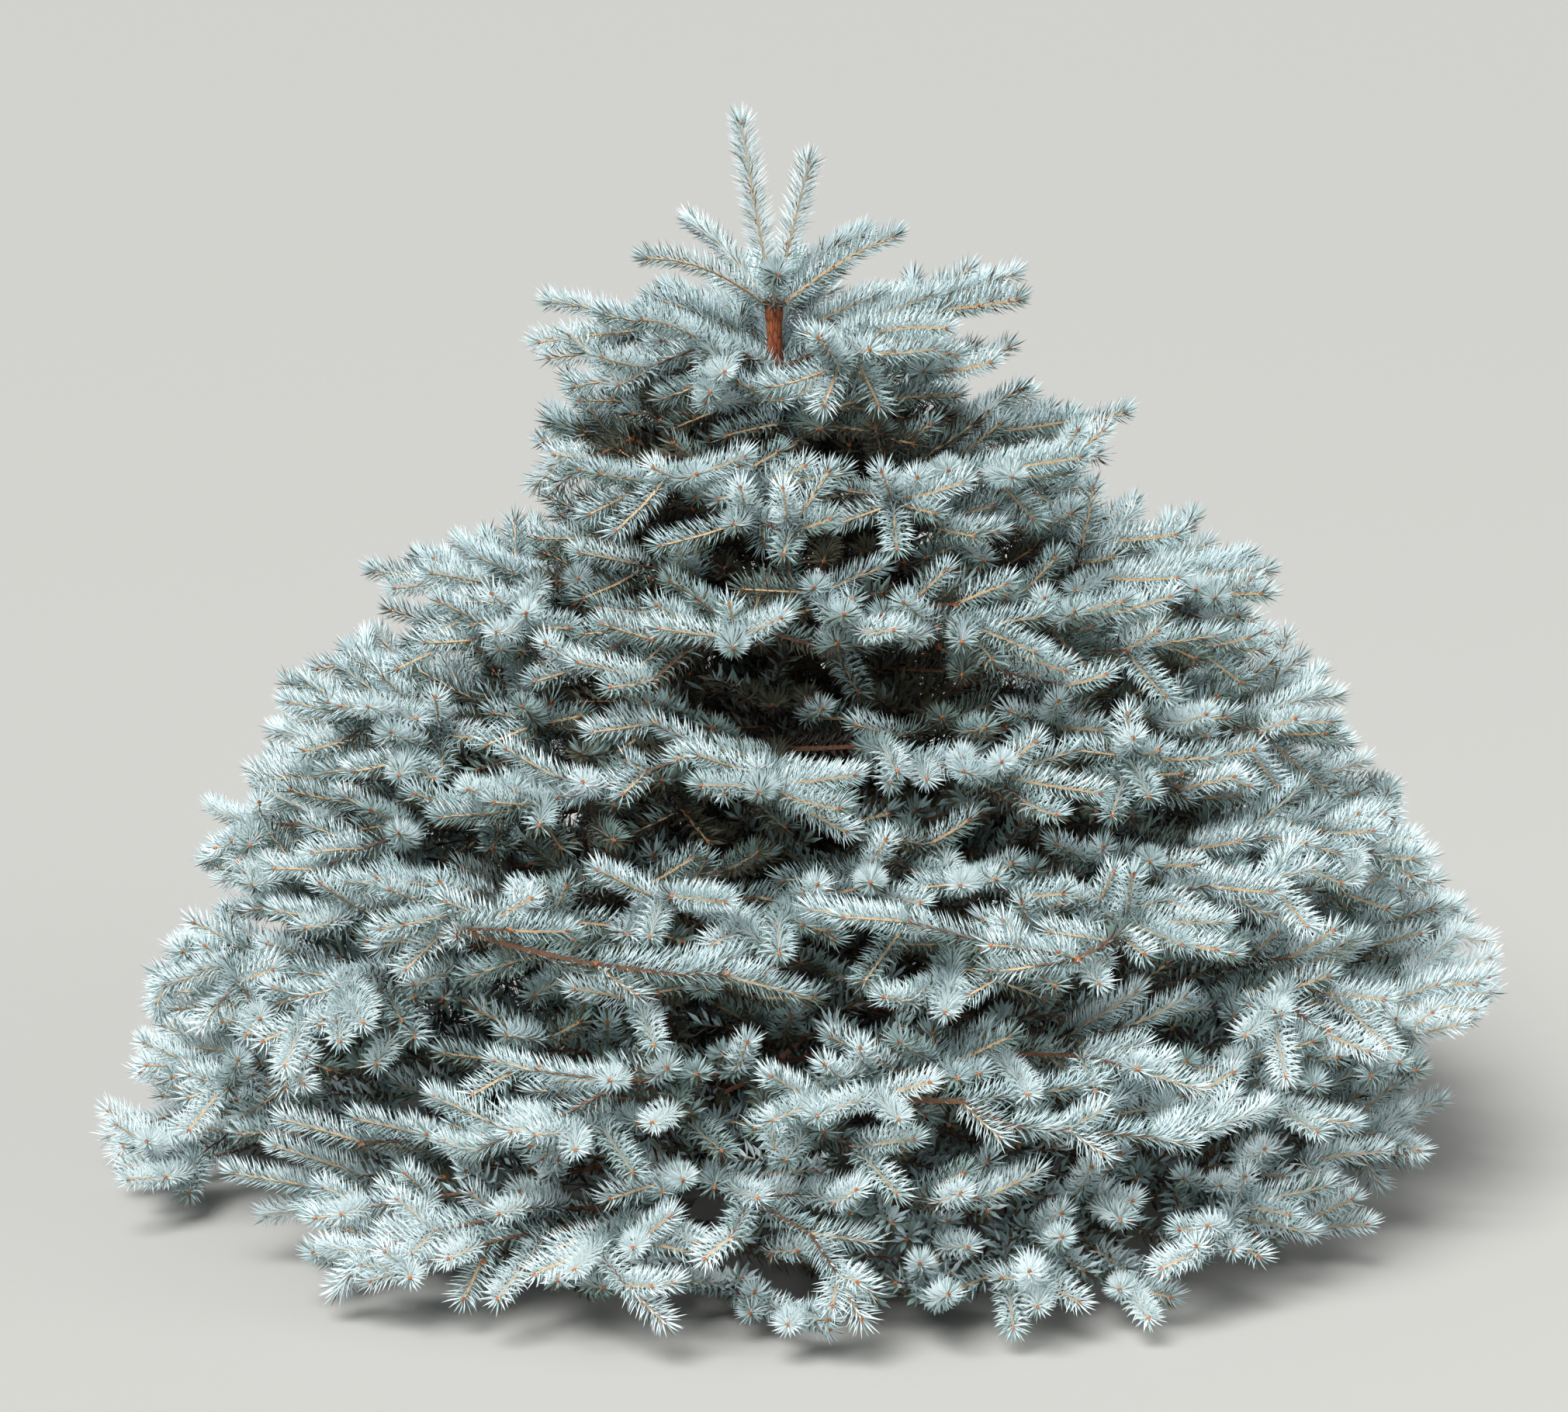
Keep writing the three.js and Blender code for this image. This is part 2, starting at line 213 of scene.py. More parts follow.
def hidesTrunk(point):
    # Whether a point is in front of the trunk where the trunk shows
    inView = any(low < point[2] < high for low, high in room["trunkInView"])
    return inView and abs(point[0] - float(trunkX(point[2]))) < room["viewWidth"] and point[1] < 0


def roomFor(level, index, point, shoot=room["brush"]):
    # Whether a point is in the mass's own space, as in the solids, with neighbours let in a little
    whorl = whorls[level]
    x = point[0] - float(trunkX(whorl["height"]))
    y = point[1]
    distance = math.hypot(x, y)
    if hidesTrunk(point):
        return False
    azimuth = math.degrees(math.atan2(y, x))
    for middle, half in room["hollows"]:
        if sum(((a - b) / c) ** 2 for a, b, c in zip(point, middle, half)) < 1:
            return False
    line = float(boughHeight(level, index, distance))
    drawnIn = room["toReach"] + max(point[2] - line, 0) * room["bevel"][level]
    if distance > reachAt(level, index, azimuth) - drawnIn:
        return False
    own = azimuths(level)[index]
    aside = turnedBy(azimuth, own)
    halfSector = 180 / whorl["count"]
    if aside > halfSector and distance * math.sin(math.radians(aside - halfSector)) > room["intoNext"]:
        return False
    if distance < float(trunkRadius(point[2])) + room["toTrunk"] or point[2] < room["toFloor"] + shoot:
        return False
    if level < len(room["risesAbove"]):
        if point[2] > line + mix(*room["risesAbove"][level], distance / whorl["reach"]):
            return False
    if level < lowest:
        below = float(lineHeight(whorls[level + 1], distance))
        if point[2] < mix(line, below, 0.5) + shoot:
            return False
    if level > 0:
        above = float(lineHeight(whorls[level - 1], distance))
        return point[2] < mix(line, above, 0.5) - shoot
    clear, widening = room["underLeaders"]
    return distance > clear + widening * max(point[2] - trunk["forkHeight"], 0)


# Growth. A twig is a chain of yearly segments; a segment is a root, a heading, a bend and a length
growth = {
    "sideLength": (0.90, 0.94),  # of the segment before it, for twigs on a bough and on a twig
    "sideAngles": (64, 40),  # to the segment before it, at the trunk and at the rim
    "unevenAngle": 6,
    "roll": 18,  # how far the plane of the side twigs tips to and fro
    "most": (6, 1),  # years of the twigs on a bough, and of those on them
    "oldWood": 3,  # age of a twig's wood from which on the twigs on it have a year more
    "deepest": 3,  # a twig of this order bears no others
    "third": (0.15, 0.85),  # share of forks with a third twig, up or down, at the trunk and at the rim
    "thirdUp": 0.65,  # share of those that point up
    "thirdAngle": (46, 8),  # and how uneven it is
    "thirdRoll": 30,
    "thirdLength": 0.85,
    "skip": 0.35,  # share of the shoots deep inside that shade has killed
    "skipWithin": 0.45,  # share of the reach up to which it has
    "lift": (0.22, -0.04),  # how much a year's segment turns up, at the top and at the ground
    "unevenBend": 0.08,
    "unevenLength": (0.86, 1.12),
    "lastYear": 0.76,  # length of the youngest shoot to the year's before it, below the third whorl
}
fitting = {
    "tries": 6,
    "askew": 0.05,
    "moreAskew": 0.07,  # with each further try
    "shorter": 0.09,  # with each further try
}
segments = {"root": [], "along": [], "bend": [], "length": [], "age": [], "level": [], "kind": []}


def addSegment(root, along, bend, length, age, level, kind):
    # Along is its heading at the root, and kind says twig, bough or leader
    for name, value in zip(segments, (root, along, bend, length, age, level, kind)):
        segments[name].append(value)


def segmentPoint(root, along, bend, length, t):
    # The root, plus the length times the sum of along times t and bend times half of t squared
    return root + length * (along * t + bend * t * t / 2)


def turned(heading, degrees, roll):
    # Turned by degrees towards its side, which is itself rolled about the heading
    side = unit(np.cross(up, heading) if abs(heading[2]) < 0.95 else np.array([0.0, 1.0, 0.0]))
    over = np.cross(heading, side)
    swing = math.cos(math.radians(roll)) * side + math.sin(math.radians(roll)) * over
    return unit(math.cos(math.radians(degrees)) * heading + math.sin(math.radians(degrees)) * swing)


def fitSegment(level, index, root, heading, length):
    # A year's segment that ends in its mass's own space, with a few tries
    for attempt in range(fitting["tries"]):
        along = unit(heading + rng.normal(0, fitting["askew"] + fitting["moreAskew"] * attempt, 3))
        bend = up * mix(*growth["lift"], level / lowest) + rng.normal(0, growth["unevenBend"], 3)
        size = length * (1 - fitting["shorter"] * attempt)
        end = segmentPoint(root, along, bend, size, 1.0)
        if roomFor(level, index, end):
            return root, along, bend, size, end
    return None


def growTwig(level, index, root, heading, years, length, order):
    # A chain of yearly segments, with a fork at the end of each but the youngest
    path = []
    for year in range(years):
        last = growth["lastYear"] if year == years - 1 and level >= denseFrom else 1
        size = length * last * rng.uniform(*growth["unevenLength"])
        fitted = fitSegment(level, index, root, heading, size)
        if fitted is None:
            break
        path.append(fitted)
        root = fitted[4]
        heading = unit(fitted[1] + fitted[2])
    for year, (start, along, bend, size, end) in enumerate(path):
        age = len(path) - 1 - year
        addSegment(start, along, bend, size, age, level, "twig")
        if age > 0 and order < growth["deepest"]:
            growFork(level, index, end, unit(along + bend), age, size, order)


def growFork(level, index, node, heading, age, length, order, hands=(-1, 1)):
    # A twig to each side of a node, and at times a third one up or down
    share = min(math.hypot(node[0], node[1]) / whorls[level]["reach"], 1)
    angle = mix(*growth["sideAngles"], share)
    size = length * growth["sideLength"][order - 1]
    years = growth["most"][order - 1] + (1 if order == 2 and age >= growth["oldWood"] else 0)
    for hand in hands:
        if order == 2 and share < growth["skipWithin"] and rng.random() < growth["skip"]:
            continue
        swing = hand * (angle + rng.normal(0, growth["unevenAngle"]))
        aside = turned(heading, swing, rng.normal(0, growth["roll"]))
        growTwig(level, index, node, aside, years, size, order + 1)
    if rng.random() < mix(*growth["third"], share):
        way = 90 if rng.random() < growth["thirdUp"] else -90
        angle, uneven = growth["thirdAngle"]
        third = turned(heading, angle + rng.normal(0, uneven), way + rng.normal(0, growth["thirdRoll"]))
        growTwig(level, index, node, third, 1, size * growth["thirdLength"], order + 1)


onBough = {
    "needlesFrom": 0.8,  # share of the bare part
    "tipBud": 0.014,
    "wideWhorl": 4,  # the first whorl that has twigs halfway along a year too
    "wideFrom": 0.16,  # and how far from the trunk they start
    "narrowFrom": 0.06,  # where short ones do, in any whorl
    "wideLength": 0.95,
    "oppositeLength": 0.85,
    "narrowLength": 0.9,
}


def growBough(level, index):
    # A bough has a year's segment for each whorl above it and its own, and forks where they join
    line = boughLine(level, index)
    years = level + 1
    bare = whorls[level]["bare"]
    yearLength = float(np.linalg.norm(line(1.0) - line(0.0))) / years
    for year in range(years):
        t0 = max(year / years, bare * onBough["needlesFrom"])
        t1 = min((year + 1) / years, 1 - onBough["tipBud"] / whorls[level]["reach"])
        age = years - 1 - year
        if t1 > t0:
            a, b, c = line(np.array([t0, (t0 + t1) / 2, t1]))
            chord = float(np.linalg.norm(c - a))
            bend = (c - 2 * b + a) * 4 / chord
            addSegment(a, (c - a) / chord - bend / 2, bend, chord, age, level, "bough")
        heading = unit(line((year + 1) / years) - line((year + 0.9) / years))
        if age > 0:
            growFork(level, index, line((year + 1) / years), heading, age, yearLength, 1)
            halfway = line((year + 0.5) / years)
            fromTrunk = math.hypot(halfway[0], halfway[1])
            hand = 1 if (year + index) % 2 else -1
            if level >= onBough["wideWhorl"] and fromTrunk > onBough["wideFrom"]:
                wide = yearLength * onBough["wideLength"]
                opposite = yearLength * onBough["oppositeLength"]
                growFork(level, index, halfway, heading, age, wide, 1, (hand,))
                growFork(level, index, halfway, heading, 1, opposite, 2, (-hand,))
            elif fromTrunk > onBough["narrowFrom"]:
                growFork(level, index, halfway, heading, 1, yearLength * onBough["narrowLength"], 2)


onTrunk = {
    "number": 7,  # around each whorl
    "yearLength": 0.085,
    "unevenLength": (0.85, 1.2),
    "first": 262,  # azimuth of the first one; the next ones follow by the golden angle
    "unevenTurn": 6,
    "spread": (-0.40, 0.42),  # lowest and highest, as shares of the way to the next whorls
    "climb": (0.5, -0.2),  # rise to run, of the lowest and the highest
    "inTrunk": 0.7,  # where it starts, as a share of the trunk's radius
    "belowSkirt": 0.08,
    "heightStep": 3,  # so that neighbours stand at different heights
}


def growTrunkTwigs(level):
    # Short twigs on the trunk itself, dealt round it by the golden angle, above and below each whorl
    number = onTrunk["number"]
    whorl = whorls[level]
    above = whorls[level - 1]["height"] - whorl["height"]
    below = whorl["height"] - whorls[level + 1]["height"] if level < lowest else onTrunk["belowSkirt"]
    down, upwards = onTrunk["spread"]
    for k in range(number):
        azimuth = onTrunk["first"] + goldenAngle * k + rng.normal(0, onTrunk["unevenTurn"])
        share = ((k * onTrunk["heightStep"] + level) % number + 0.5) / number
        height = whorl["height"] + mix(down * below, upwards * above, share)
        turn = math.radians(azimuth)
        heading = np.array([math.cos(turn), math.sin(turn), mix(*onTrunk["climb"], share)])
        start = float(trunkRadius(height)) * onTrunk["inTrunk"]
        root = np.array([float(trunkX(height)) + start * heading[0], start * heading[1], height])
        years = 1 if level < openWhorls else 2
        length = onTrunk["yearLength"] * rng.uniform(*onTrunk["unevenLength"])
        growTwig(level, nearestBough(level, azimuth), root, unit(heading), years, length, 2)


risers = {  # between the second whorl and the top one
    "tries": 9,
    "first": 165,  # azimuth of the first one; the next ones follow by the golden angle
    "clearFront": 40,  # degrees to each side of the front, where the trunk shows
    "heights": (0.800, 0.826),
    "climb": (16, 44),  # degrees, of the lowest and the highest
    "foot": 0.055,  # length of its older wood
    "uneven": 0.0,  # by how much of itself that differs
    "length": (0.125, 0.095),
    "arch": -0.40,
    "sideAngle": 46,
    "unevenAngle": 6,
    "sideRoll": 22,
    "sideLength": (0.6, 0.85),
    "inTrunk": 0.7,
}
insiders = {  # between the third whorl and the second one
    **risers,
    "tries": 20,
    "first": 40,
    "clearFront": 0,
    "heights": (0.728, 0.786),
    "climb": (0, 16),
    "foot": 0.072,
    "uneven": 0.35,
    "length": (0.105, 0.088),
    "arch": -0.10,
    "sideAngle": 54,
    "sideLength": (0.65, 1.0),
}


def growFromTrunk(rule):
    # Branched shoots that climb from the trunk between two whorls, but leave it in view from the front
    front = 270  # the azimuth of the photo's side
    for k in range(rule["tries"]):
        azimuth = rule["first"] + goldenAngle * k
        if turnedBy(azimuth, front) < rule["clearFront"]:
            continue
        share = chance(k, 4)
        climb = math.radians(mix(*rule["climb"], share))
        height = mix(*rule["heights"], share)
        flat = math.cos(climb)
        turn = math.radians(azimuth)
        heading = np.array([flat * math.cos(turn), flat * math.sin(turn), math.sin(climb)])
        root = np.array([float(trunkX(height)), 0.0, height])
        root = root + heading * float(trunkRadius(height)) * rule["inTrunk"]
        foot = rule["foot"] * mix(1 - rule["uneven"], 1 + rule["uneven"], chance(k, 5))
        knee = root + heading * foot
        length = mix(*rule["length"], share)
        addSegment(root, heading, up * 0.0, foot, age=1, level=1, kind="twig")
        addSegment(knee, heading, up * rule["arch"], length, age=0, level=1, kind="twig")
        for hand in (-1, 1):
            swing = hand * rng.normal(rule["sideAngle"], rule["unevenAngle"])
            aside = turned(heading, swing, rng.normal(0, rule["sideRoll"]))
            size = length * rng.uniform(*rule["sideLength"])
            if not hidesTrunk(segmentPoint(knee, aside, up * rule["arch"], size, 0.5)):
                addSegment(knee, aside, up * rule["arch"], size, age=0, level=1, kind="twig")


growFromTrunk(risers)
for level, whorl in enumerate(whorls):
    for index in range(whorl["count"]):
        growBough(level, index)
    if level > 0:
        growTrunkTwigs(level)
for leader in leaders:
    foot = np.array(leader["foot"])
    rise = np.array(leader["tip"]) - foot
    length = float(np.linalg.norm(rise)) - leader["toTip"]
    bend = rng.normal(0, leader["crook"], 3)
    addSegment(foot, unit(rise) - bend / 2, bend, length, age=0, level=0, kind="leader")
print("boughs, twigs and leaders grown:", len(segments["age"]), "segments")


def grown(name, chosen=slice(None)):
    # What the segments hold under a name, as one array
    return np.array(segments[name])[chosen]


def segmentPoints(chosen, steps):
    # Points along the chosen segments, at even steps from root to tip
    t = np.linspace(0, 1, steps)[None, :, None]
    root, along, bend = (grown(name, chosen)[:, None, :] for name in ("root", "along", "bend"))
    return segmentPoint(root, along, bend, grown("length", chosen)[:, None, None], t)


# Light. Shoots are gathered in cells, and the rays that leave a place pass through what the cells hold
light = {
    "cell": 0.03,
    "corner": (-0.78, -0.78, 0.0),
    "cells": (52, 52, 38),
    "brush": 0.030,  # width of a shoot with its needles
    "needlesLeft": (1.0, 0.9, 0.6, 0.4, 0.25, 0.2, 0.15, 0.15),  # share by the age of the segment
    "elevations": (4, 28, 55, 82),
    "azimuths": 12,
    "ray": (1.2, 32),  # where its steps start and end, in cells
    "samples": 4,  # of each segment
}


def lightAt(places):
    # The share of light that comes to each place from its clearest quarter of all sides, and from above
    cell = light["cell"]
    corner = np.array(light["corner"])
    cells = np.array(light["cells"])
    area = grown("length") * np.array(light["needlesLeft"])[grown("age")] * light["brush"] / cell ** 3
    grid = np.zeros(cells)
    for spot in np.moveaxis(segmentPoints(slice(None), light["samples"]), 1, 0):
        spot = np.clip(((spot - corner) / cell).astype(int), 0, cells - 1)
        np.add.at(grid, tuple(spot.T), area / light["samples"])
    turns = np.arange(light["azimuths"]) * 2 * np.pi / light["azimuths"]
    elevation, azimuth = np.meshgrid(np.radians(light["elevations"]), turns, indexing="ij")
    flat = np.cos(elevation)
    rays = np.stack([flat * np.cos(azimuth), flat * np.sin(azimuth), np.sin(elevation)], axis=-1)
    steps = np.arange(*light["ray"])[None, :, None] * cell
    through = []
    for ray in rays.reshape(-1, 3):
        spot = ((places[:, None] + steps * ray - corner) / cell).astype(int)
        inside = ((spot >= 0) & (spot < cells)).all(axis=-1)
        spot = np.clip(spot, 0, cells - 1)
        passed = (grid[spot[..., 0], spot[..., 1], spot[..., 2]] * inside).sum(axis=1) * cell
        through.append(np.exp(-passed))
    through = np.array(through)
    quarter = len(through) // 4
    fromAbove = through[-2 * light["azimuths"]:]
    return np.sort(through, axis=0)[-quarter:].mean(axis=0), fromAbove.mean(axis=0)


# Gaps. Shade kills young shoots deep inside, and new ones fill the places that light finds
gaps = {
    "darkest": 0.20,  # light below which a young shoot dies
    "hardiness": (0.6, 1.4),  # by which that differs from shoot to shoot
    "tries": (14000, 9000),
    "lightest": (0.24, 0.30),  # light that a new shoot needs, at the top and at the ground
    "spacing": (0.036, 0.034),  # from its tip to its neighbours, at the top and at the ground
    "inner": (0.0, 0.85, 0.95),  # share of the reach that is filled in the first three whorls
    "beyondReach": 1.15,  # the same share in the other whorls
    "overLine": (0.0, 0.002, 0.035),  # how far above the bough's line it is filled there
    "overTop": 0.05,  # of the layer above the top whorl's boughs
    "underSkirt": 0.08,  # and below the lowest one's
    "steepest": 0.5,  # of a new shoot's heading, below the third whorl
    "shortest": 0.038,  # of a new shoot
    "longest": 0.088,  # of one year's growth
    "twoYears": 0.165,  # and of two
    "knee": (0.5, 0.008),  # where a long one bends: its share of the way, and how far it hangs there
    "onTrunk": (0.46, 0.86, 0.012),  # lowest, highest and step of the places where one may leave the trunk
    "pointsUp": 0.25,  # rise to run of the heading that suits one best
    "leastFacing": 0.1,  # cosine between that heading and the shoot's
    # Cost of a root: its distance times a sum, of one, of how it faces outwards and of how steep it is
    "cost": (1.5, -0.7, 0.5),
}


def shadeShoots():
    # A young shoot dies where its middle gets too little light
    clearest, _ = lightAt(segmentPoints(slice(None), 3)[:, 1])
    dying = (grown("age") == 0) & (grown("kind") == "twig")
    dying &= clearest < gaps["darkest"] * rng.uniform(*gaps["hardiness"], len(clearest))
    for name, values in segments.items():
        segments[name] = [value for value, gone in zip(values, dying) if not gone]
    print("shoots that shade killed:", int(dying.sum()))


def placeInLayer(level):
    # A place within a whorl's own layer, evenly over its floor and its height, and the mass that it is in
    whorl = whorls[level]
    azimuth = rng.uniform(0, 360)
    filled = gaps["inner"][level] if level < len(gaps["inner"]) else gaps["beyondReach"]
    distance = whorl["reach"] * math.sqrt(rng.random()) * filled
    x = float(trunkX(whorl["height"])) + distance * math.cos(math.radians(azimuth))
    y = distance * math.sin(math.radians(azimuth))
    index = nearestBough(level, azimuth)
    line = float(boughHeight(level, index, distance))
    above = float(lineHeight(whorls[level - 1], distance)) if level > 0 else line + gaps["overTop"]
    if level < len(gaps["overLine"]):
        above = line + 2 * gaps["overLine"][level]
    below = float(lineHeight(whorls[level + 1], distance)) if level < lowest else line - gaps["underSkirt"]
    place = np.array([x, y, mix((line + below) / 2, (line + above) / 2, rng.random())])
    return (level, index, place) if roomFor(level, index, place, 0.0) else None


def asTree(points):
    # The points, sorted for quick searches of the nearest one
    tree = kdtree.KDTree(len(points))
    for number, point in enumerate(points):
        tree.insert(point, number)
    tree.balance()
    return tree


def rootFor(tip, nodes, level):
    # The node that reaches a tip best: near, further in and not steeply above or below it
    away = tip - nodes
    far = np.linalg.norm(away, axis=1)
    outward = unit(np.array([tip[0], tip[1], gaps["pointsUp"] * math.hypot(tip[0], tip[1])]))
    facing = (away @ outward) / np.maximum(far, 1e-6)
    steep = np.abs(away[:, 2]) / np.maximum(far, 1e-6)
    barred = (far < gaps["shortest"]) | ((steep > gaps["steepest"]) & (level >= denseFrom))
    base, forFacing, forSteep = gaps["cost"]
    best = int(np.argmin(far * (base + forFacing * facing + forSteep * steep) + barred))
    if far[best] > gaps["twoYears"] or facing[best] < gaps["leastFacing"] or barred[best]:
        return None
    return nodes[best], away[best], far[best]


def fillGaps(tries):
    # Each place that is far from every shoot, and lit, gets one from the node that reaches it best
    young = grown("age") == 0
    bodies = segmentPoints(young, 4)[:, 1:].reshape(-1, 3)
    tree = asTree(bodies)
    shares = np.array([whorl["reach"] for whorl in whorls])
    found = []
    for level in rng.choice(len(whorls), tries, p=shares / shares.sum()):
        place = placeInLayer(int(level))
        if place is not None and tree.find(place[2])[2] > mix(*gaps["spacing"], level / lowest):
            found.append(place)
    places = np.array([place[2] for place in found])
    clearest, _ = lightAt(places)
    nodes = segmentPoints(~young, 3)[:, 1:].reshape(-1, 3)
    heights = np.arange(*gaps["onTrunk"])
    trunkNodes = np.stack([trunkX(heights), 0 * heights, heights], axis=-1)
    nodes = np.concatenate([nodes, trunkNodes])
    added = []
    for number in np.argsort(-clearest):
        level, index, tip = found[number]
        if clearest[number] < mix(*gaps["lightest"], level / lowest):
            continue
        spacing = mix(*gaps["spacing"], level / lowest)
        if len(added) and np.linalg.norm(np.array(added) - tip, axis=1).min() < spacing:
            continue
        best = rootFor(tip, nodes, level)
        if best is None:
            continue
        root, away, far = best
        bend = up * mix(*growth["lift"], level / lowest) + rng.normal(0, growth["unevenBend"], 3)
        if far > gaps["longest"]:
            share, hang = gaps["knee"]
            knee = root + away * share - up * hang
            first = knee - root
            addSegment(root, unit(first), 0 * bend, float(np.linalg.norm(first)), 1, level, "twig")
            nodes = np.concatenate([nodes, knee[None]])
            root = knee
        reach = tip - root
        length = float(np.linalg.norm(reach))
        addSegment(root, reach / length - bend / 2, bend, length, 0, level, "twig")
        added += [tip, root + reach * 0.6]  # so that no other comes near its tip or its middle
    print("places without a shoot:", len(found), "filled:", len(added) // 2)


# Least and most rise to run by which the youngest shoots turn up, in each whorl below the top one
tipLifts = ((-0.10, 0.46), (-0.05, 0.30), *[(-0.12, 0.20)] * 3, (-0.10, 0.20), (0.0, 0.20))


def liftTips():
    # The youngest shoots turn up or down, each by its own amount, unless one would then hide the trunk
    for number, (level, age) in enumerate(zip(segments["level"], segments["age"])):
        if age == 0 and level > 0:
            root, bend, length = (segments[name][number] for name in ("root", "bend", "length"))
            lifted = unit(segments["along"][number] + up * rng.uniform(*tipLifts[level - 1]))
            if not any(hidesTrunk(segmentPoint(root, lifted, bend, length, t)) for t in (0.5, 1.0)):
                segments["along"][number] = lifted


shadeShoots()
for tries in gaps["tries"]:
    fillGaps(tries)
liftTips()
growFromTrunk(insiders)
segments = {name: np.array(values) for name, values in segments.items()}
clearest, sky = lightAt(segmentPoints(slice(None), 3)[:, 1])
tenths = np.round(np.quantile(clearest, np.linspace(0, 1, 11)), 2)
print("light, by tenths of the segments:", tenths.tolist())
years, counts = np.unique(segments["age"], return_counts=True)
metres = round(segments["length"].sum(), 1)
print("segments by age:", dict(zip(years.tolist(), counts.tolist())), "metres:", metres)


def makePiece(name, vertices, faces, material, smooth=False, groove=None):
    # A mesh from arrays of points and faces, given to the tree, with a groove value for each point of bark
    vertices = np.ascontiguousarray(vertices.reshape(-1, 3), dtype=np.float32)
    faces = np.ascontiguousarray(faces, dtype=np.int32)
    sides = faces.shape[1]
    mesh = bpy.data.meshes.new(name)
    mesh.vertices.add(len(vertices))
    mesh.vertices.foreach_set("co", vertices.ravel())
    mesh.loops.add(faces.size)
    mesh.loops.foreach_set("vertex_index", faces.ravel())
    mesh.polygons.add(len(faces))
    mesh.polygons.foreach_set("loop_start", np.arange(0, faces.size, sides, dtype=np.int32))
    mesh.polygons.foreach_set("use_smooth", np.full(len(faces), smooth))
    mesh.update(calc_edges=True)
    mesh.materials.append(material)
    if groove is not None:
        attribute = mesh.attributes.new("groove", "FLOAT", "POINT")
        attribute.data.foreach_set("value", groove.ravel().astype(np.float32))
    piece = bpy.data.objects.new(name, mesh)
    bpy.context.scene.collection.objects.link(piece)
    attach(piece, "root")
    print("made", name, "with", len(faces) * (sides - 2), "triangles")
    return piece


def sidesOf(heading):
    # Two directions square to each heading and to each other, the first one level unless that is steep
    steep = np.abs(heading[..., 2:3]) > 0.9
    side = unit(np.cross(np.where(steep, np.array([0.0, 1.0, 0.0]), up), heading))
    return side, np.cross(heading, side)


def tubeFaces(rings, sides):
    # Triangles between rings of points, and from the outer two rings to the two points that follow them
    j = np.arange(sides)
    after = (j + 1) % sides
    k = np.arange(rings - 1)[:, None] * sides
    lower = np.stack([k + j, k + after, k + sides + j], axis=-1).reshape(-1, 3)
    upper = np.stack([k + after, k + sides + after, k + sides + j], axis=-1).reshape(-1, 3)
    start = np.stack([np.full(sides, rings * sides), after, j], axis=-1)
    end = (rings - 1) * sides + np.stack([np.full(sides, sides + 1), j, after], axis=-1)
    return np.concatenate([lower, upper, start, end])


def forEach(number, faces, points):
    # The faces of one shape with so many points, again for each of a number of such shapes
    return (faces[None] + (np.arange(number) * points)[:, None, None]).reshape(-1, 3)


def tubeMesh(points, radius, sides):
    # Rings of a circle's points carried along each path, and a middle point that closes each end
    side, over = sidesOf(unit(np.gradient(points, axis=1)))
    angle = np.linspace(0, 2 * np.pi, sides, endpoint=False)
    circle = np.cos(angle)[:, None] * side[:, :, None] + np.sin(angle)[:, None] * over[:, :, None]
    rings = points[:, :, None] + (radius if radius.ndim == 3 else radius[:, :, None])[..., None] * circle
    number, steps = points.shape[:2]
    body = rings.reshape(number, steps * sides, 3)
    vertices = np.concatenate([body, points[:, :1], points[:, -1:]], axis=1)
    return vertices, forEach(number, tubeFaces(steps, sides), steps * sides + 2)


# Materials
def colour(code):
    # sRGB hex to linear: below 0.04045 a 12.92th, above it a power of 2.4
    channels = np.array([int(code[i:i + 2], 16) for i in (1, 3, 5)]) / 255
    linear = np.where(channels <= 0.04045, channels / 12.92, ((channels + 0.055) / 1.055) ** 2.4)
    return (*linear.tolist(), 1.0)


def perMetre(grain):
    # A pattern's scale: how many of its grains, of a size in millimetres, a metre holds
    return 1000 / grain


def addNode(tree, kind, settings=None, links=None):
    # A node with values for its settings or sockets, and links from other nodes' sockets
    node = tree.nodes.new(kind)
    for name, value in (settings or {}).items():
        if name in node.inputs:
            node.inputs[name].default_value = value
        else:
            setattr(node, name, value)
    for name, socket in (links or {}).items():
        tree.links.new(socket, node.inputs[name])
    return node


def newMaterial(name, settings):
    # A material, its node tree and its shader, with values for some of the shader's sockets
    material = bpy.data.materials.new(name)
    material.use_nodes = True
    shader = material.node_tree.nodes["Principled BSDF"]
    for socket, value in settings.items():
        shader.inputs[socket].default_value = value
    return material, material.node_tree, shader


def needleMaterial(name, code):
    # A living needle under a wax bloom: matt, with a soft pale sheen where it turns away, and with more or
    # less of the wax in patches half a needle long
    settings = {"Base Color": colour(code), "IOR": 1.45, "Specular IOR Level": 0.35}
    settings |= {"Sheen Weight": 0.18, "Sheen Roughness": 0.5}
    material, tree, shader = newMaterial(name, settings)
    place = addNode(tree, "ShaderNodeTexCoord").outputs["Object"]
    wax = addNode(tree, "ShaderNodeTexNoise", {"Scale": perMetre(11.11), "Detail": 2.0}, {"Vector": place})
    settings = {"To Min": 0.43, "To Max": 0.67}
    matt = addNode(tree, "ShaderNodeMapRange", settings, {"Value": wax.outputs["Fac"]})
    tree.links.new(matt.outputs["Result"], shader.inputs["Roughness"])
    return material


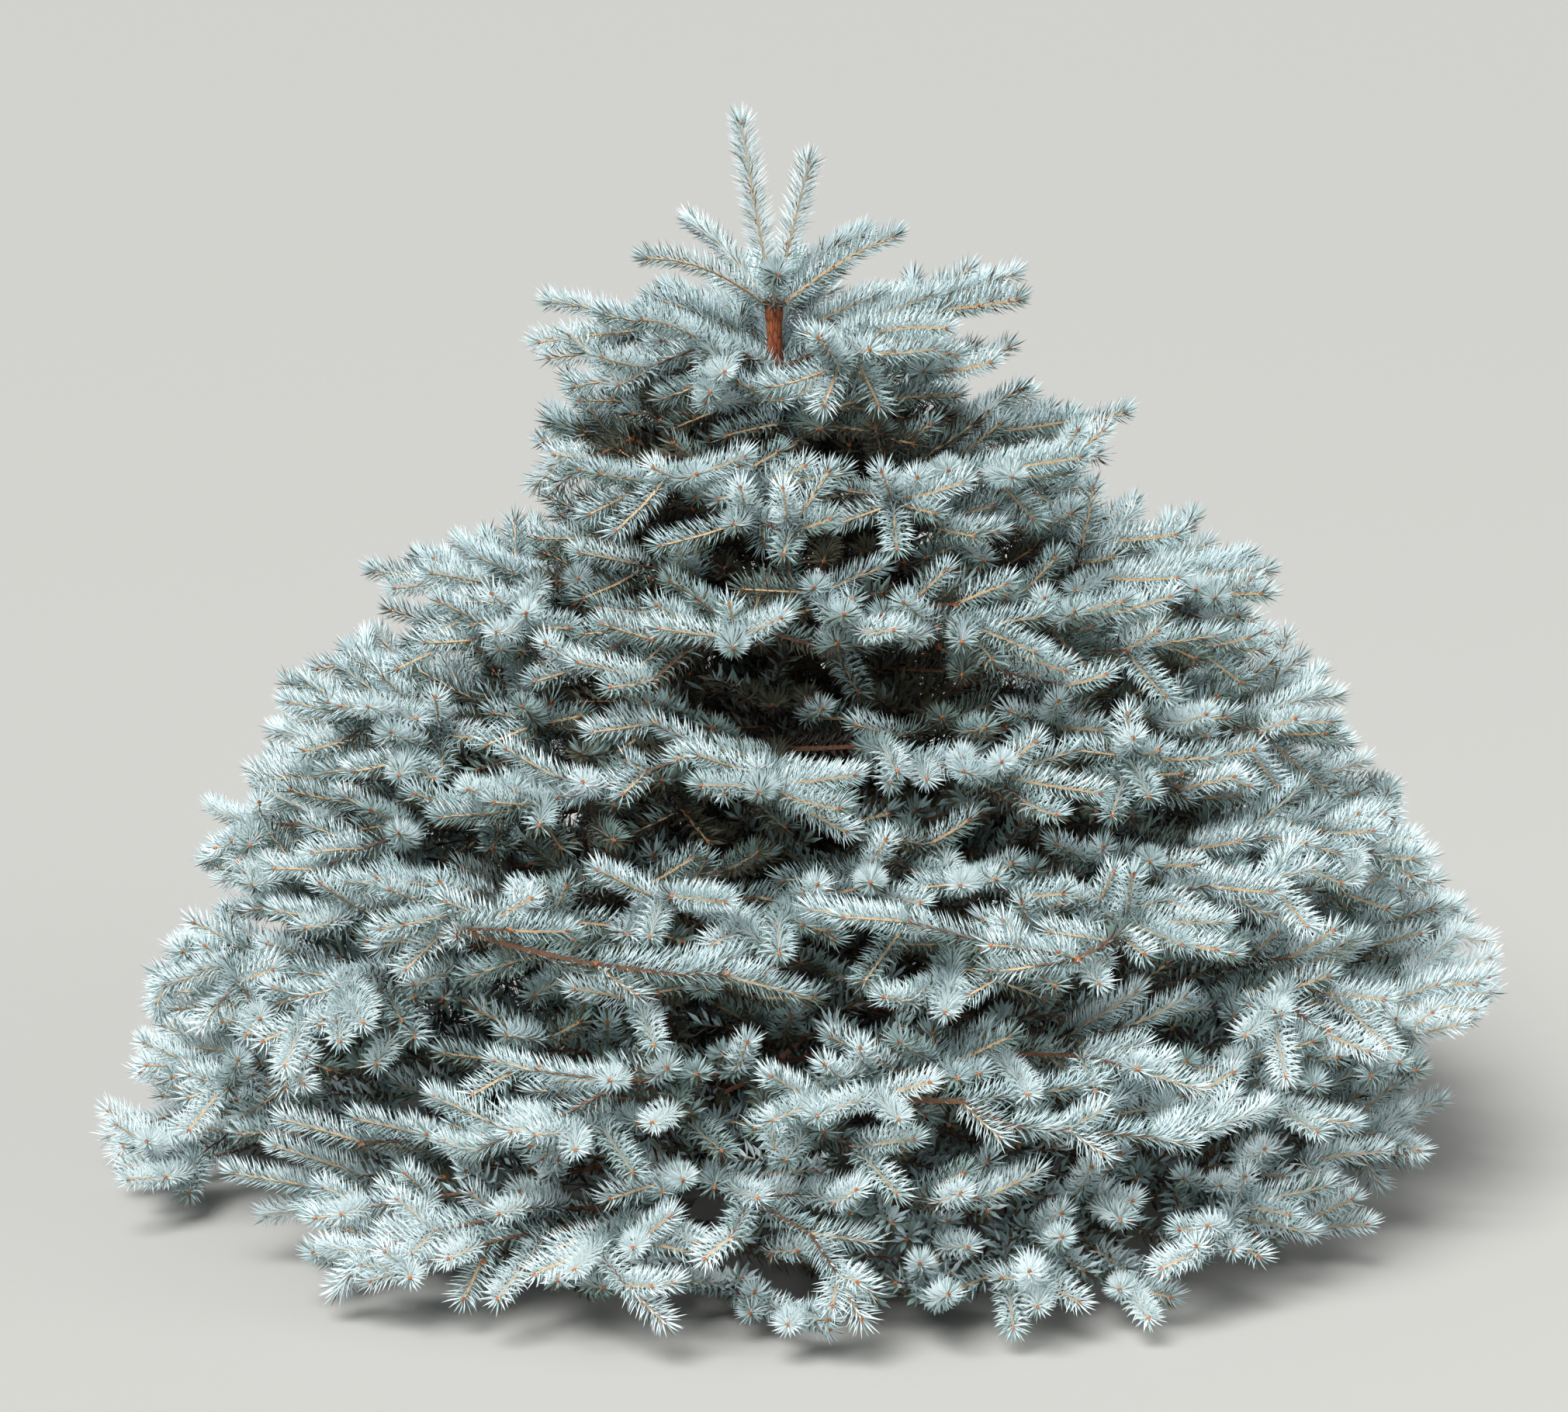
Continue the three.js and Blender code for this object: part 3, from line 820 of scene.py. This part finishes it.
def barkMaterial(name, young, old, height, grain):
    # Thin scaly bark: grey-brown plates on old wood and orange-brown ridges on young wood, in blotches
    # eight times as wide as its grain, and dark in the grooves and pores
    material, tree, shader = newMaterial(name, {"Roughness": 0.88})
    place = addNode(tree, "ShaderNodeTexCoord").outputs["Object"]
    settings = {"Scale": perMetre(grain), "Detail": 6.0, "Roughness": 0.65}
    scales = addNode(tree, "ShaderNodeTexNoise", settings, {"Vector": place})
    settings = {"Scale": perMetre(grain / 0.12), "Detail": 3.0}
    blotch = addNode(tree, "ShaderNodeTexNoise", settings, {"Vector": place})
    settings = {"From Min": 0.32, "From Max": 0.68}
    spread = addNode(tree, "ShaderNodeMapRange", settings, {"Value": blotch.outputs["Fac"]})
    shades = []
    for first, second in (old, young):
        settings = {"data_type": "RGBA", "A": colour(first), "B": colour(second)}
        shade = addNode(tree, "ShaderNodeMix", settings, {"Factor": spread.outputs["Result"]})
        shades.append(shade.outputs["Result"])
    parts = addNode(tree, "ShaderNodeSeparateXYZ", None, {"Vector": place})
    settings = {"From Min": height[0], "From Max": height[1]}
    age = addNode(tree, "ShaderNodeMapRange", settings, {"Value": parts.outputs["Z"]})
    links = {"Factor": age.outputs["Result"], "A": shades[0], "B": shades[1]}
    ridge = addNode(tree, "ShaderNodeMix", {"data_type": "RGBA"}, links)
    groove = addNode(tree, "ShaderNodeAttribute", {"attribute_name": "groove"})
    settings = {"From Min": 0.45, "From Max": 0.75, "To Max": 0.35}
    pores = addNode(tree, "ShaderNodeMapRange", settings, {"Value": scales.outputs["Fac"]})
    links = {0: groove.outputs["Fac"], 2: pores.outputs["Result"]}
    depth = addNode(tree, "ShaderNodeMath", {"operation": "MULTIPLY_ADD"}, links)
    depth.inputs[1].default_value = 0.85  # how dark a groove is
    links = {"Factor": depth.outputs["Value"], "A": ridge.outputs["Result"]}
    final = addNode(tree, "ShaderNodeMix", {"data_type": "RGBA", "B": colour("#2A1B14")}, links)
    settings = {"Strength": 0.7, "Distance": 0.0007}
    bump = addNode(tree, "ShaderNodeBump", settings, {"Height": scales.outputs["Fac"]})
    tree.links.new(final.outputs["Result"], shader.inputs["Base Color"])
    tree.links.new(bump.outputs["Normal"], shader.inputs["Normal"])
    return material


def twigMaterial(name, first, second):
    # Ridged young shoot bark: warm, in tones that vary every few millimetres, and slightly satin
    material, tree, shader = newMaterial(name, {"Roughness": 0.62})
    place = addNode(tree, "ShaderNodeTexCoord").outputs["Object"]
    settings = {"Scale": perMetre(6.25), "Detail": 3.0}
    ridges = addNode(tree, "ShaderNodeTexNoise", settings, {"Vector": place})
    settings = {"data_type": "RGBA", "A": colour(first), "B": colour(second)}
    tone = addNode(tree, "ShaderNodeMix", settings, {"Factor": ridges.outputs["Fac"]})
    settings = {"Strength": 0.4, "Distance": 0.0004}
    bump = addNode(tree, "ShaderNodeBump", settings, {"Height": ridges.outputs["Fac"]})
    tree.links.new(tone.outputs["Result"], shader.inputs["Base Color"])
    tree.links.new(bump.outputs["Normal"], shader.inputs["Normal"])
    return material


# Trunk and boughs
bark = {
    "around": 110,
    "along": 420,
    "plates": 13,  # around the trunk, so 3 mm ridges at the top and 15 mm plates at the foot
    "rows": 62,
    "seed": 5,
    "crack": 0.0016,  # depth between plates
    "flake": 0.0010,  # how far a plate's lower edge lifts
    "crackWidth": 0.17,  # of a plate
    "knuckle": (0.0020, 0.011),  # swelling where a whorl leaves the trunk, and half its height
    "thinnest": 0.42,  # share of the relief that is left at the top
    "crowding": 1.15,  # power by which the rings draw together towards the foot
}
boughBark = {
    "around": 10,
    "along": 90,
    "plates": 6,
    "plateLength": 0.009,
    "seed": 7,
    "crack": 0.0006,
    "mostCrack": 0.25,  # of the radius
    "crackWidth": 0.2,
    "tip": 0.0024,  # radius where the young wood starts
    "taper": 0.9,  # power of the share of the way there
    "least": 0.0013,  # radius
    "collar": (0.55, 0.016),  # swelling at the trunk, and how far it reaches
    "lumps": (0.07, 150),  # share of the radius, and how closely they follow each other
    "oldShares": (0.06, 0.36),  # of the first two whorls' boughs; the rest is young wood
}


def cellPattern(u, v, columns, rows, seed):
    # Distances to the nearest and the second nearest of one jittered point a cell; u wraps around
    jitter = np.random.default_rng(seed).random((rows + 2, columns, 2))
    cellU = np.floor(u).astype(int)
    cellV = np.floor(v).astype(int)
    found = []
    for du in (-1, 0, 1):
        for dv in (-1, 0, 1):
            column = cellU + du
            row = np.clip(cellV + dv, -1, rows)
            spot = jitter[row + 1, column % columns]
            found.append(np.hypot(column + spot[..., 0] - u, row + spot[..., 1] - v))
    found = np.sort(np.stack(found), axis=0)
    return found[0], found[1]


def barkTrunkMesh():
    # Rings of the trunk's lobed radius, with plates parted by sunken cracks and raised at their lower edges
    angle = np.linspace(0, 2 * np.pi, bark["around"], endpoint=False)[None, :]
    z = (np.linspace(0, 1, bark["along"]) ** bark["crowding"] * trunk["forkHeight"])[:, None]
    u = angle / (2 * np.pi) * bark["plates"] + 0 * z
    v = z / trunk["forkHeight"] * bark["rows"] + 0 * angle
    near, second = cellPattern(u, v, bark["plates"], bark["rows"], bark["seed"])
    thickness = np.clip(trunkRadius(z) / trunk["footRadius"], bark["thinnest"], 1.0)
    groove = np.exp(-((second - near) / bark["crackWidth"]) ** 2)
    flake = bark["flake"] * (0.5 - (v % 1.0)) * (1 - near)
    swelling, half = bark["knuckle"]
    knuckle = sum(np.exp(-((z - whorl["height"]) / half) ** 2) for whorl in whorls) * swelling
    radius = trunkRadius(z, angle) + thickness * (flake - bark["crack"] * groove) + knuckle
    x = trunkX(z) + radius * np.cos(angle)
    y = radius * np.sin(angle)
    rings = np.stack([x, y, z + 0 * angle], axis=-1)
    top = trunk["forkHeight"]
    ends = np.array([[float(trunkX(0.0)), 0, 0], [float(trunkX(top)), 0, top]])
    vertices = np.concatenate([rings.reshape(-1, 3), ends])
    return vertices, tubeFaces(bark["along"], bark["around"]), np.append(groove, [0, 0])


def boughMesh():
    # Each bough's line up to its young wood, with a tapering radius, a collar at the trunk and plates
    swelling, collarReach = boughBark["collar"]
    lumpSize, lumpPace = boughBark["lumps"]
    share = np.linspace(0, 1, boughBark["along"])
    around = np.linspace(0, boughBark["plates"], boughBark["around"], endpoint=False)[None, :]
    points = []
    radii = []
    grooves = []
    for level, whorl in enumerate(whorls):
        for index in range(whorl["count"]):
            line = boughLine(level, index)
            old = boughBark["oldShares"][level] if level < openWhorls else (level - 1) / (level + 1)
            points.append(line(share * old))
            taper = mix(whorl["root"], boughBark["tip"], share ** boughBark["taper"])
            collar = 1 + swelling * np.exp(-share * whorl["reach"] / collarReach)
            lumps = 1 + lumpSize * np.sin(share * whorl["reach"] * lumpPace + level + 2 * index)
            rows = max(int(whorl["reach"] * old / boughBark["plateLength"]), 3)
            near, second = cellPattern(around + 0 * share[:, None], share[:, None] * rows + 0 * around,
                                       boughBark["plates"], rows, boughBark["seed"] + level * 9 + index)
            groove = np.exp(-((second - near) / boughBark["crackWidth"]) ** 2)
            smooth = np.maximum(taper * collar * lumps, boughBark["least"])[:, None]
            crack = np.minimum(boughBark["crack"], smooth * boughBark["mostCrack"])
            radii.append(smooth - crack * groove)
            grooves.append(np.append(groove, [0, 0]))
    vertices, faces = tubeMesh(np.array(points), np.array(radii), boughBark["around"])
    return vertices, faces, np.array(grooves)


# Two colours of young wood, two of old wood, the heights between which they blend, and the grain
barkOld = barkMaterial(
    "scaly spruce bark", ("#B0623A", "#8A4526"), ("#7A6656", "#55453A"), (0.50, 0.78), 3.125)
barkBough = barkMaterial(
    "bough bark", ("#8C5735", "#5E3A28"), ("#54443A", "#3A2E28"), (0.55, 0.85), 2.381)
vertices, faces, groove = barkTrunkMesh()
barkTrunk = makePiece("barkTrunk", vertices, faces, barkOld, smooth=True, groove=groove)
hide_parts("trunk")
vertices, faces, groove = boughMesh()
barkBoughs = makePiece("barkBoughs", vertices, faces, barkBough, smooth=True, groove=groove)
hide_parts(*[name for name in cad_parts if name.startswith("bough_")])


# Twigs and buds
twig = {
    "steps": (6, 3),  # rings in the first two whorls and in the others
    "sides": 3,
    "young": 0.0016,  # radius
    "yearly": 0.0004,  # added to it with each year
    "taper": 0.72,
    "tanInLight": 0.3,  # light above which a young shoot is tan; below it, it gets the old twigs' brown as painted shade
}


def twigMesh(chosen):
    # Tapering tubes along the segments, with more rings on the long arched shoots of the first two whorls
    high = segments["level"] < openWhorls
    meshes = []
    for some, steps in zip((chosen & high, chosen & ~high), twig["steps"]):
        thick = twig["young"] + twig["yearly"] * segments["age"][some]
        radius = thick[:, None] * np.linspace(1, twig["taper"], steps)[None, :]
        meshes.append(tubeMesh(segmentPoints(some, steps), radius, twig["sides"]))
    (vertices, faces), (otherVertices, otherFaces) = meshes
    vertices = vertices.reshape(-1, 3)
    faces = np.concatenate([faces, otherFaces + len(vertices)])
    return np.concatenate([vertices, otherVertices.reshape(-1, 3)]), faces


# A young shoot in light is tan; one in shade gets the old twigs' brown, as painted shade
youngInLight = (segments["age"] == 0) & (clearest > twig["tanInLight"])
slender = (segments["kind"] != "bough") | (segments["age"] < 2)  # a bough's older years are in its bark
youngTwig = twigMaterial("tan shoot bark", "#DCC29A", "#B98B5B")
oldTwigAndPaintedShade = twigMaterial("brown twig bark", "#84593E", "#4E3627")
vertices, faces = twigMesh(youngInLight)
makePiece("twigsYoung", vertices, faces, youngTwig)
# The old twigs, and the shaded young shoots in their brown as painted shade
vertices, faces = twigMesh(slender & ~youngInLight)
makePiece("twigsOldAndPaintedShade", vertices, faces, oldTwigAndPaintedShade)

bud = {
    "length": 0.0064,
    "radius": 0.0024,
    "sides": 5,
    "widest": 0.15,  # how far its widest ring is beyond the shoot's tip, as a share of its length
    "ends": (0.4, 0.6),  # the same for its two ends, to each side of that ring
    "alongShoot": 0.030,  # from one side bud to the next
    "places": (0.15, 0.95),
    "onTwig": 0.0022,  # from the shoot's middle to a side bud
    "lean": 1.2,  # how far a side bud leans out
    "scatter": 0.0012,  # of bud scales around a joint
    "sizes": ((0.5, 0.75), (1.1, 1.6)),  # of side buds and of old bud scales
    "leader": 1.25,
    "lit": (0.2, 0.05),  # light that a tip and an old joint need
    "atJoints": 0.6,  # share of the joints that keep their scales
    "oldest": 4,
}


def spindles(tip, heading, size):
    # A bud is a ring of points around its heading, closed by a point at each end
    side, over = sidesOf(heading)
    angle = np.linspace(0, 2 * np.pi, bud["sides"], endpoint=False)[None, :, None]
    ring = np.cos(angle) * side[:, None] + np.sin(angle) * over[:, None]
    size = size[:, None, None]
    rear, front = bud["ends"]
    middle = tip[:, None] + heading[:, None] * size * bud["length"] * bud["widest"]
    root = middle - heading[:, None] * size * bud["length"] * rear
    point = middle + heading[:, None] * size * bud["length"] * front
    vertices = np.concatenate([middle + ring * size * bud["radius"], root, point], axis=1)
    return vertices, forEach(len(tip), tubeFaces(1, bud["sides"]), bud["sides"] + 2)


def budMesh():
    # One bud at each young tip, smaller ones along the shoots of the leaders and the first two whorls, and
    # the brown scales of old buds where one year's wood meets the next
    age = segments["age"]
    tipLight, jointLight = bud["lit"]
    chosen = (age == 0) & (clearest > tipLight)
    tip = segmentPoints(chosen, 3)[:, -1]
    heading = unit(segments["along"][chosen] + segments["bend"][chosen])
    size = np.where(segments["kind"][chosen] == "leader", bud["leader"], 1.0)
    shoots = chosen & (segments["level"] < openWhorls)
    number = np.maximum((segments["length"][shoots] / bud["alongShoot"]).astype(int), 1)
    owner = np.repeat(np.flatnonzero(shoots), number)
    t = rng.uniform(*bud["places"], len(owner))[:, None]
    root, along, bend = (segments[name][owner] for name in ("root", "along", "bend"))
    spot = segmentPoint(root, along, bend, segments["length"][owner][:, None], t)
    swing = rng.normal(0, 1, (len(owner), 3))
    outward = unit(swing - (swing * along).sum(axis=1, keepdims=True) * along)
    joints = (age > 0) & (age < bud["oldest"]) & (clearest > jointLight)
    joints = joints & (rng.random(len(clearest)) < bud["atJoints"])
    knee = segmentPoints(joints, 3)[:, -1]
    around = knee + rng.normal(0, bud["scatter"], knee.shape)
    tip = np.concatenate([tip, spot + outward * bud["onTwig"], around])
    aside = unit(along + outward * bud["lean"])
    heading = np.concatenate([heading, aside, unit(rng.normal(0, 1, knee.shape))])
    sideSizes, jointSizes = bud["sizes"]
    size = np.concatenate([size, rng.uniform(*sideSizes, len(owner)), rng.uniform(*jointSizes, len(knee))])
    return spindles(tip, heading, size)


budScales = twigMaterial("papery bud scales", "#C47C43", "#8C4825")
vertices, faces = budMesh()
makePiece("buds", vertices, faces, budScales)


# Needles
needle = {
    "length": (0.0222, 0.0216),  # at the top and at the ground
    "unevenLength": (0.86, 1.08),
    "underShorter": 0.22,  # by this on a shoot's underside
    "atFoot": (0.1, 0.85),  # share of a segment where they are shorter, and how much
    "width": 0.0016,
    "depth": 0.0008,  # how far its sides hang below its ridge
    "widest": 0.55,  # place of its widest point
    "total": 540000,
    "fewest": 8,  # on a segment
    "onOldWood": (1.0, 0.95, 0.75, 0.60, 0.50, 0.45, 0.40, 0.35),  # share by the age of the segment
    "inShade": 0.22,  # share that a segment keeps where no light reaches it
    "shade": (0.2, 0.35),  # light that counts as none, and how much above it counts as full
    "widerInShade": 3.0,
    "topShare": 0.95,  # of the needles on the first whorls' shoots
    "leaderLight": 1.15,  # a leader bears more than a shoot in full light
    "span": (0.03, 0.94),  # where they start along a segment, and the length they take up
    "tuft": 0.09,  # share of a young shoot's needles that crowd around the bud
    "tuftSpan": (0.97, 0.03),
    "angles": (68, 52),  # to the shoot, at its root and near its tip
    "tuftAngles": (62, 12),
    "unevenAngle": 5,
    "turn": 137.508,  # degrees round the shoot from one to the next
    "firstTurn": 1.7,  # by so many radians they start further round on each segment
    "turnUp": 0.28,  # on a level shoot, and less on a steep one
    "curl": 0.6,
    "mostInPiece": 98000,
}
# Tones of the needles: age and chance, with painted shade by light and on undersides, and painted light on
# the lowest tiers
tones = {
    "steps": (0.4, 1.0, 1.6, 2.3, 3.2),  # tones where one tint gives way to the next, darker one
    "year": 0.45,  # for each year of its age
    "fullLight": 0.80,  # share of the most light, below which needles get painted shade
    "slope": (3.3, 3.0),  # how fast, at the top and at the ground
    "deepest": 3.4,
    "paintedSkirtLight": 1.5,  # painted light, by which the lowest tier is lighter, and the others hardly
    "chance": (-0.3, 1.0),
    "leader": 0.35,
    "under": 1.2,  # painted shade, on a shoot's underside
    "odd": (0.3, 0.6, 2.0),  # share of the needles that differ from their shoot, and by how much
}
# Plain tints from pale to dark, dealt by tone: the darker ones stand for old needles and for painted shade,
# the paler ones also for painted light on the lowest tiers
tints = {
    "frosted": "#DCEAEC",
    "silver": "#C3D6DA",
    "steel": "#A3BBBD",
    "sea": "#7C948F",
    "olderAndPaintedShade": "#4A4C3A",
    "shaded": "#281F17",
}


def shootTones():
    # How dark each segment's needles are: by its age and by chance, with painted shade where it gets little
    # light and painted light on the lowest tiers
    share = 0.5 * clearest / clearest.max() + 0.5 * sky / sky.max()
    low = segments["level"] / lowest
    shaded = np.clip((tones["fullLight"] - share) * mix(*tones["slope"], low), 0, tones["deepest"])
    tone = segments["age"] * tones["year"] + shaded - tones["paintedSkirtLight"] * low ** 4
    tone = tone + rng.uniform(*tones["chance"], len(share))
    return np.where(segments["kind"] == "leader", tones["leader"], tone)


def needleTones(owner, under):
    # How dark each needle is: as its segment's, with painted shade underneath, and some by chance
    share, least, most = tones["odd"]
    odd = np.where(rng.random(len(owner)) < share, rng.uniform(least, most, len(owner)), 0)
    return shootTones()[owner] + under * tones["under"] + odd


def needleNumbers():
    # How many needles each segment bears, by its length, age, light and whorl, and how well lit it is
    dark, width = needle["shade"]
    lit = np.clip((clearest - dark) / width, 0, 1)
    lit = np.where(segments["kind"] == "leader", needle["leaderLight"], lit)
    kept = np.array(needle["onOldWood"])[segments["age"]] * mix(needle["inShade"], 1, lit)
    kept = kept * np.where(segments["level"] < openWhorls, needle["topShare"], 1)
    density = kept * needle["total"] / (kept * segments["length"]).sum()
    print("needles a metre, least and most:", int(density.min()), int(density.max()))
    number = np.maximum((segments["length"] * density).astype(int), needle["fewest"])
    return number, np.minimum(lit, 1)


def needlePlaces(number):
    # For each needle its segment, its number there, and how far along it and into the bud's tuft it stands
    owner = np.repeat(np.arange(len(number)), number)
    start = np.concatenate([[0], np.cumsum(number)[:-1]])
    order = np.arange(len(owner)) - start[owner]
    share = (order + 0.5) / number[owner]
    body = 1 - needle["tuft"]
    inTuft = (share > body) & (segments["age"][owner] == 0)
    tuftShare = (share - body) / needle["tuft"]
    first, span = needle["span"]
    tuftFirst, tuftSpan = needle["tuftSpan"]
    along = np.where(inTuft, tuftFirst + tuftSpan * tuftShare, first + span * share / body)
    return owner, order, np.minimum(along, 1.0), inTuft, tuftShare


def growNeedles():
    # Needles stand around each segment by the golden angle; each is two long faces that meet in a ridge
    number, lit = needleNumbers()
    owner, order, along, inTuft, tuftShare = needlePlaces(number)
    root, heading, bend = (segments[name][owner] for name in ("root", "along", "bend"))
    foot = segmentPoint(root, heading, bend, segments["length"][owner][:, None], along[:, None])
    tangent = unit(heading + bend * along[:, None])
    side, over = sidesOf(tangent)
    turn = np.radians(needle["turn"]) * order + owner * needle["firstTurn"]
    outward = np.cos(turn)[:, None] * side + np.sin(turn)[:, None] * over
    tilt = mix(*needle["angles"], along) + rng.normal(0, needle["unevenAngle"], len(owner))
    tilt = np.radians(np.where(inTuft, mix(*needle["tuftAngles"], tuftShare), tilt))[:, None]
    pointing = np.cos(tilt) * tangent + np.sin(tilt) * outward
    level = 1 - tangent[:, 2:3] ** 2
    pointing = unit(pointing + up * needle["turnUp"] * level)
    under = np.clip(-outward[:, 2], 0, 1)
    size = mix(*needle["length"], segments["level"][owner] / lowest)
    size = size * rng.uniform(*needle["unevenLength"], len(owner)) * (1 - needle["underShorter"] * under)
    footEnds, shorter = needle["atFoot"]
    size = (size * np.where(along < footEnds, shorter, 1.0))[:, None]
    curl = tangent + up * needle["curl"] * level  # the way its tip curves
    back = -unit(curl - (curl * pointing).sum(axis=1, keepdims=True) * pointing)
    across = np.cross(pointing, back)
    middle = foot + pointing * size * needle["widest"] + back * needle["depth"]
    half = across * needle["width"] / 2 * mix(needle["widerInShade"], 1, lit)[owner][:, None]
    corners = np.stack([foot, middle + half, foot + pointing * size, middle - half], axis=1)
    return corners, np.digitize(needleTones(owner, under), tones["steps"])


masses = [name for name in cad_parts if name.startswith(("needles_", "leader_"))]
corners, tintOf = growNeedles()
ridgeFaces = np.array([[0, 2, 1], [0, 3, 2]])
# Each tint, with the painted shade and painted light it carries, makes its own pieces
for number, (tint, code) in enumerate(tints.items()):
    material = needleMaterial("waxy " + tint + " needles", code)
    mine = corners[tintOf == number]
    parts = np.array_split(mine, math.ceil(len(mine) / needle["mostInPiece"]))
    for part, some in enumerate(parts, 1):
        faces = forEach(len(some), ridgeFaces, 4)
        piece = makePiece("needles" + tint.capitalize() + str(part), some, faces, material)
        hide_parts(*masses)


# Floor, light and camera
studio = {
    "floor": "#ADACA8",
    "halfFloor": 30.0,
    "sky": "#EEF2F5",
    "skyPower": 0.34,
    "aim": (0.0, 0.0, 0.5),
    # Kind, place, power and settings of each lamp
    "key": ("SUN", (-1.35, -3.1, 4.4), 5.2, {"angle": math.radians(34)}),
    "fill": ("AREA", (3.4, -2.4, 2.2), 50, {"size": 3.0}),
}
view = {"eye": (0.0, -5.0, 1.45), "aim": (0.0, 0.0, 0.47), "lens": 119.3, "sensor": 36.0}


def makeFloor():
    # A flat square in a matt grey
    mesh = bpy.data.meshes.new("floor")
    half = studio["halfFloor"]
    corners = [(-half, -half, 0), (half, -half, 0), (half, half, 0), (-half, half, 0)]
    mesh.from_pydata(corners, [], [(0, 1, 2, 3)])
    settings = {"Base Color": colour(studio["floor"]), "Roughness": 0.9}
    mesh.materials.append(newMaterial("pale studio floor", settings)[0])
    floor = bpy.data.objects.new("floor", mesh)
    bpy.context.scene.collection.objects.link(floor)


def setUp(name, data, place, aim):
    # A lamp or a camera at its place, turned to its aim
    holder = bpy.data.objects.new(name, data)
    holder.location = place
    holder.rotation_euler = (Vector(aim) - Vector(place)).to_track_quat("-Z", "Y").to_euler()
    bpy.context.scene.collection.objects.link(holder)
    return holder


def addLight(name, kind, place, power, settings):
    # A lamp that points at the middle of the tree
    lamp = bpy.data.lights.new(name, kind)
    lamp.energy = power
    for setting, value in settings.items():
        setattr(lamp, setting, value)
    setUp(name, lamp, place, studio["aim"])


makeFloor()
for name in ("key", "fill"):
    addLight(name, *studio[name])
world = bpy.data.worlds.new("studio")
world.use_nodes = True
background = world.node_tree.nodes["Background"]
background.inputs["Color"].default_value = colour(studio["sky"])
background.inputs["Strength"].default_value = studio["skyPower"]
bpy.context.scene.world = world
bpy.context.scene.view_settings.view_transform = "Standard"

camera = bpy.data.cameras.new("camera")
camera.lens = view["lens"]
camera.sensor_width = view["sensor"]
bpy.context.scene.camera = setUp("camera", camera, view["eye"], view["aim"])
print("floor, light and camera placed")
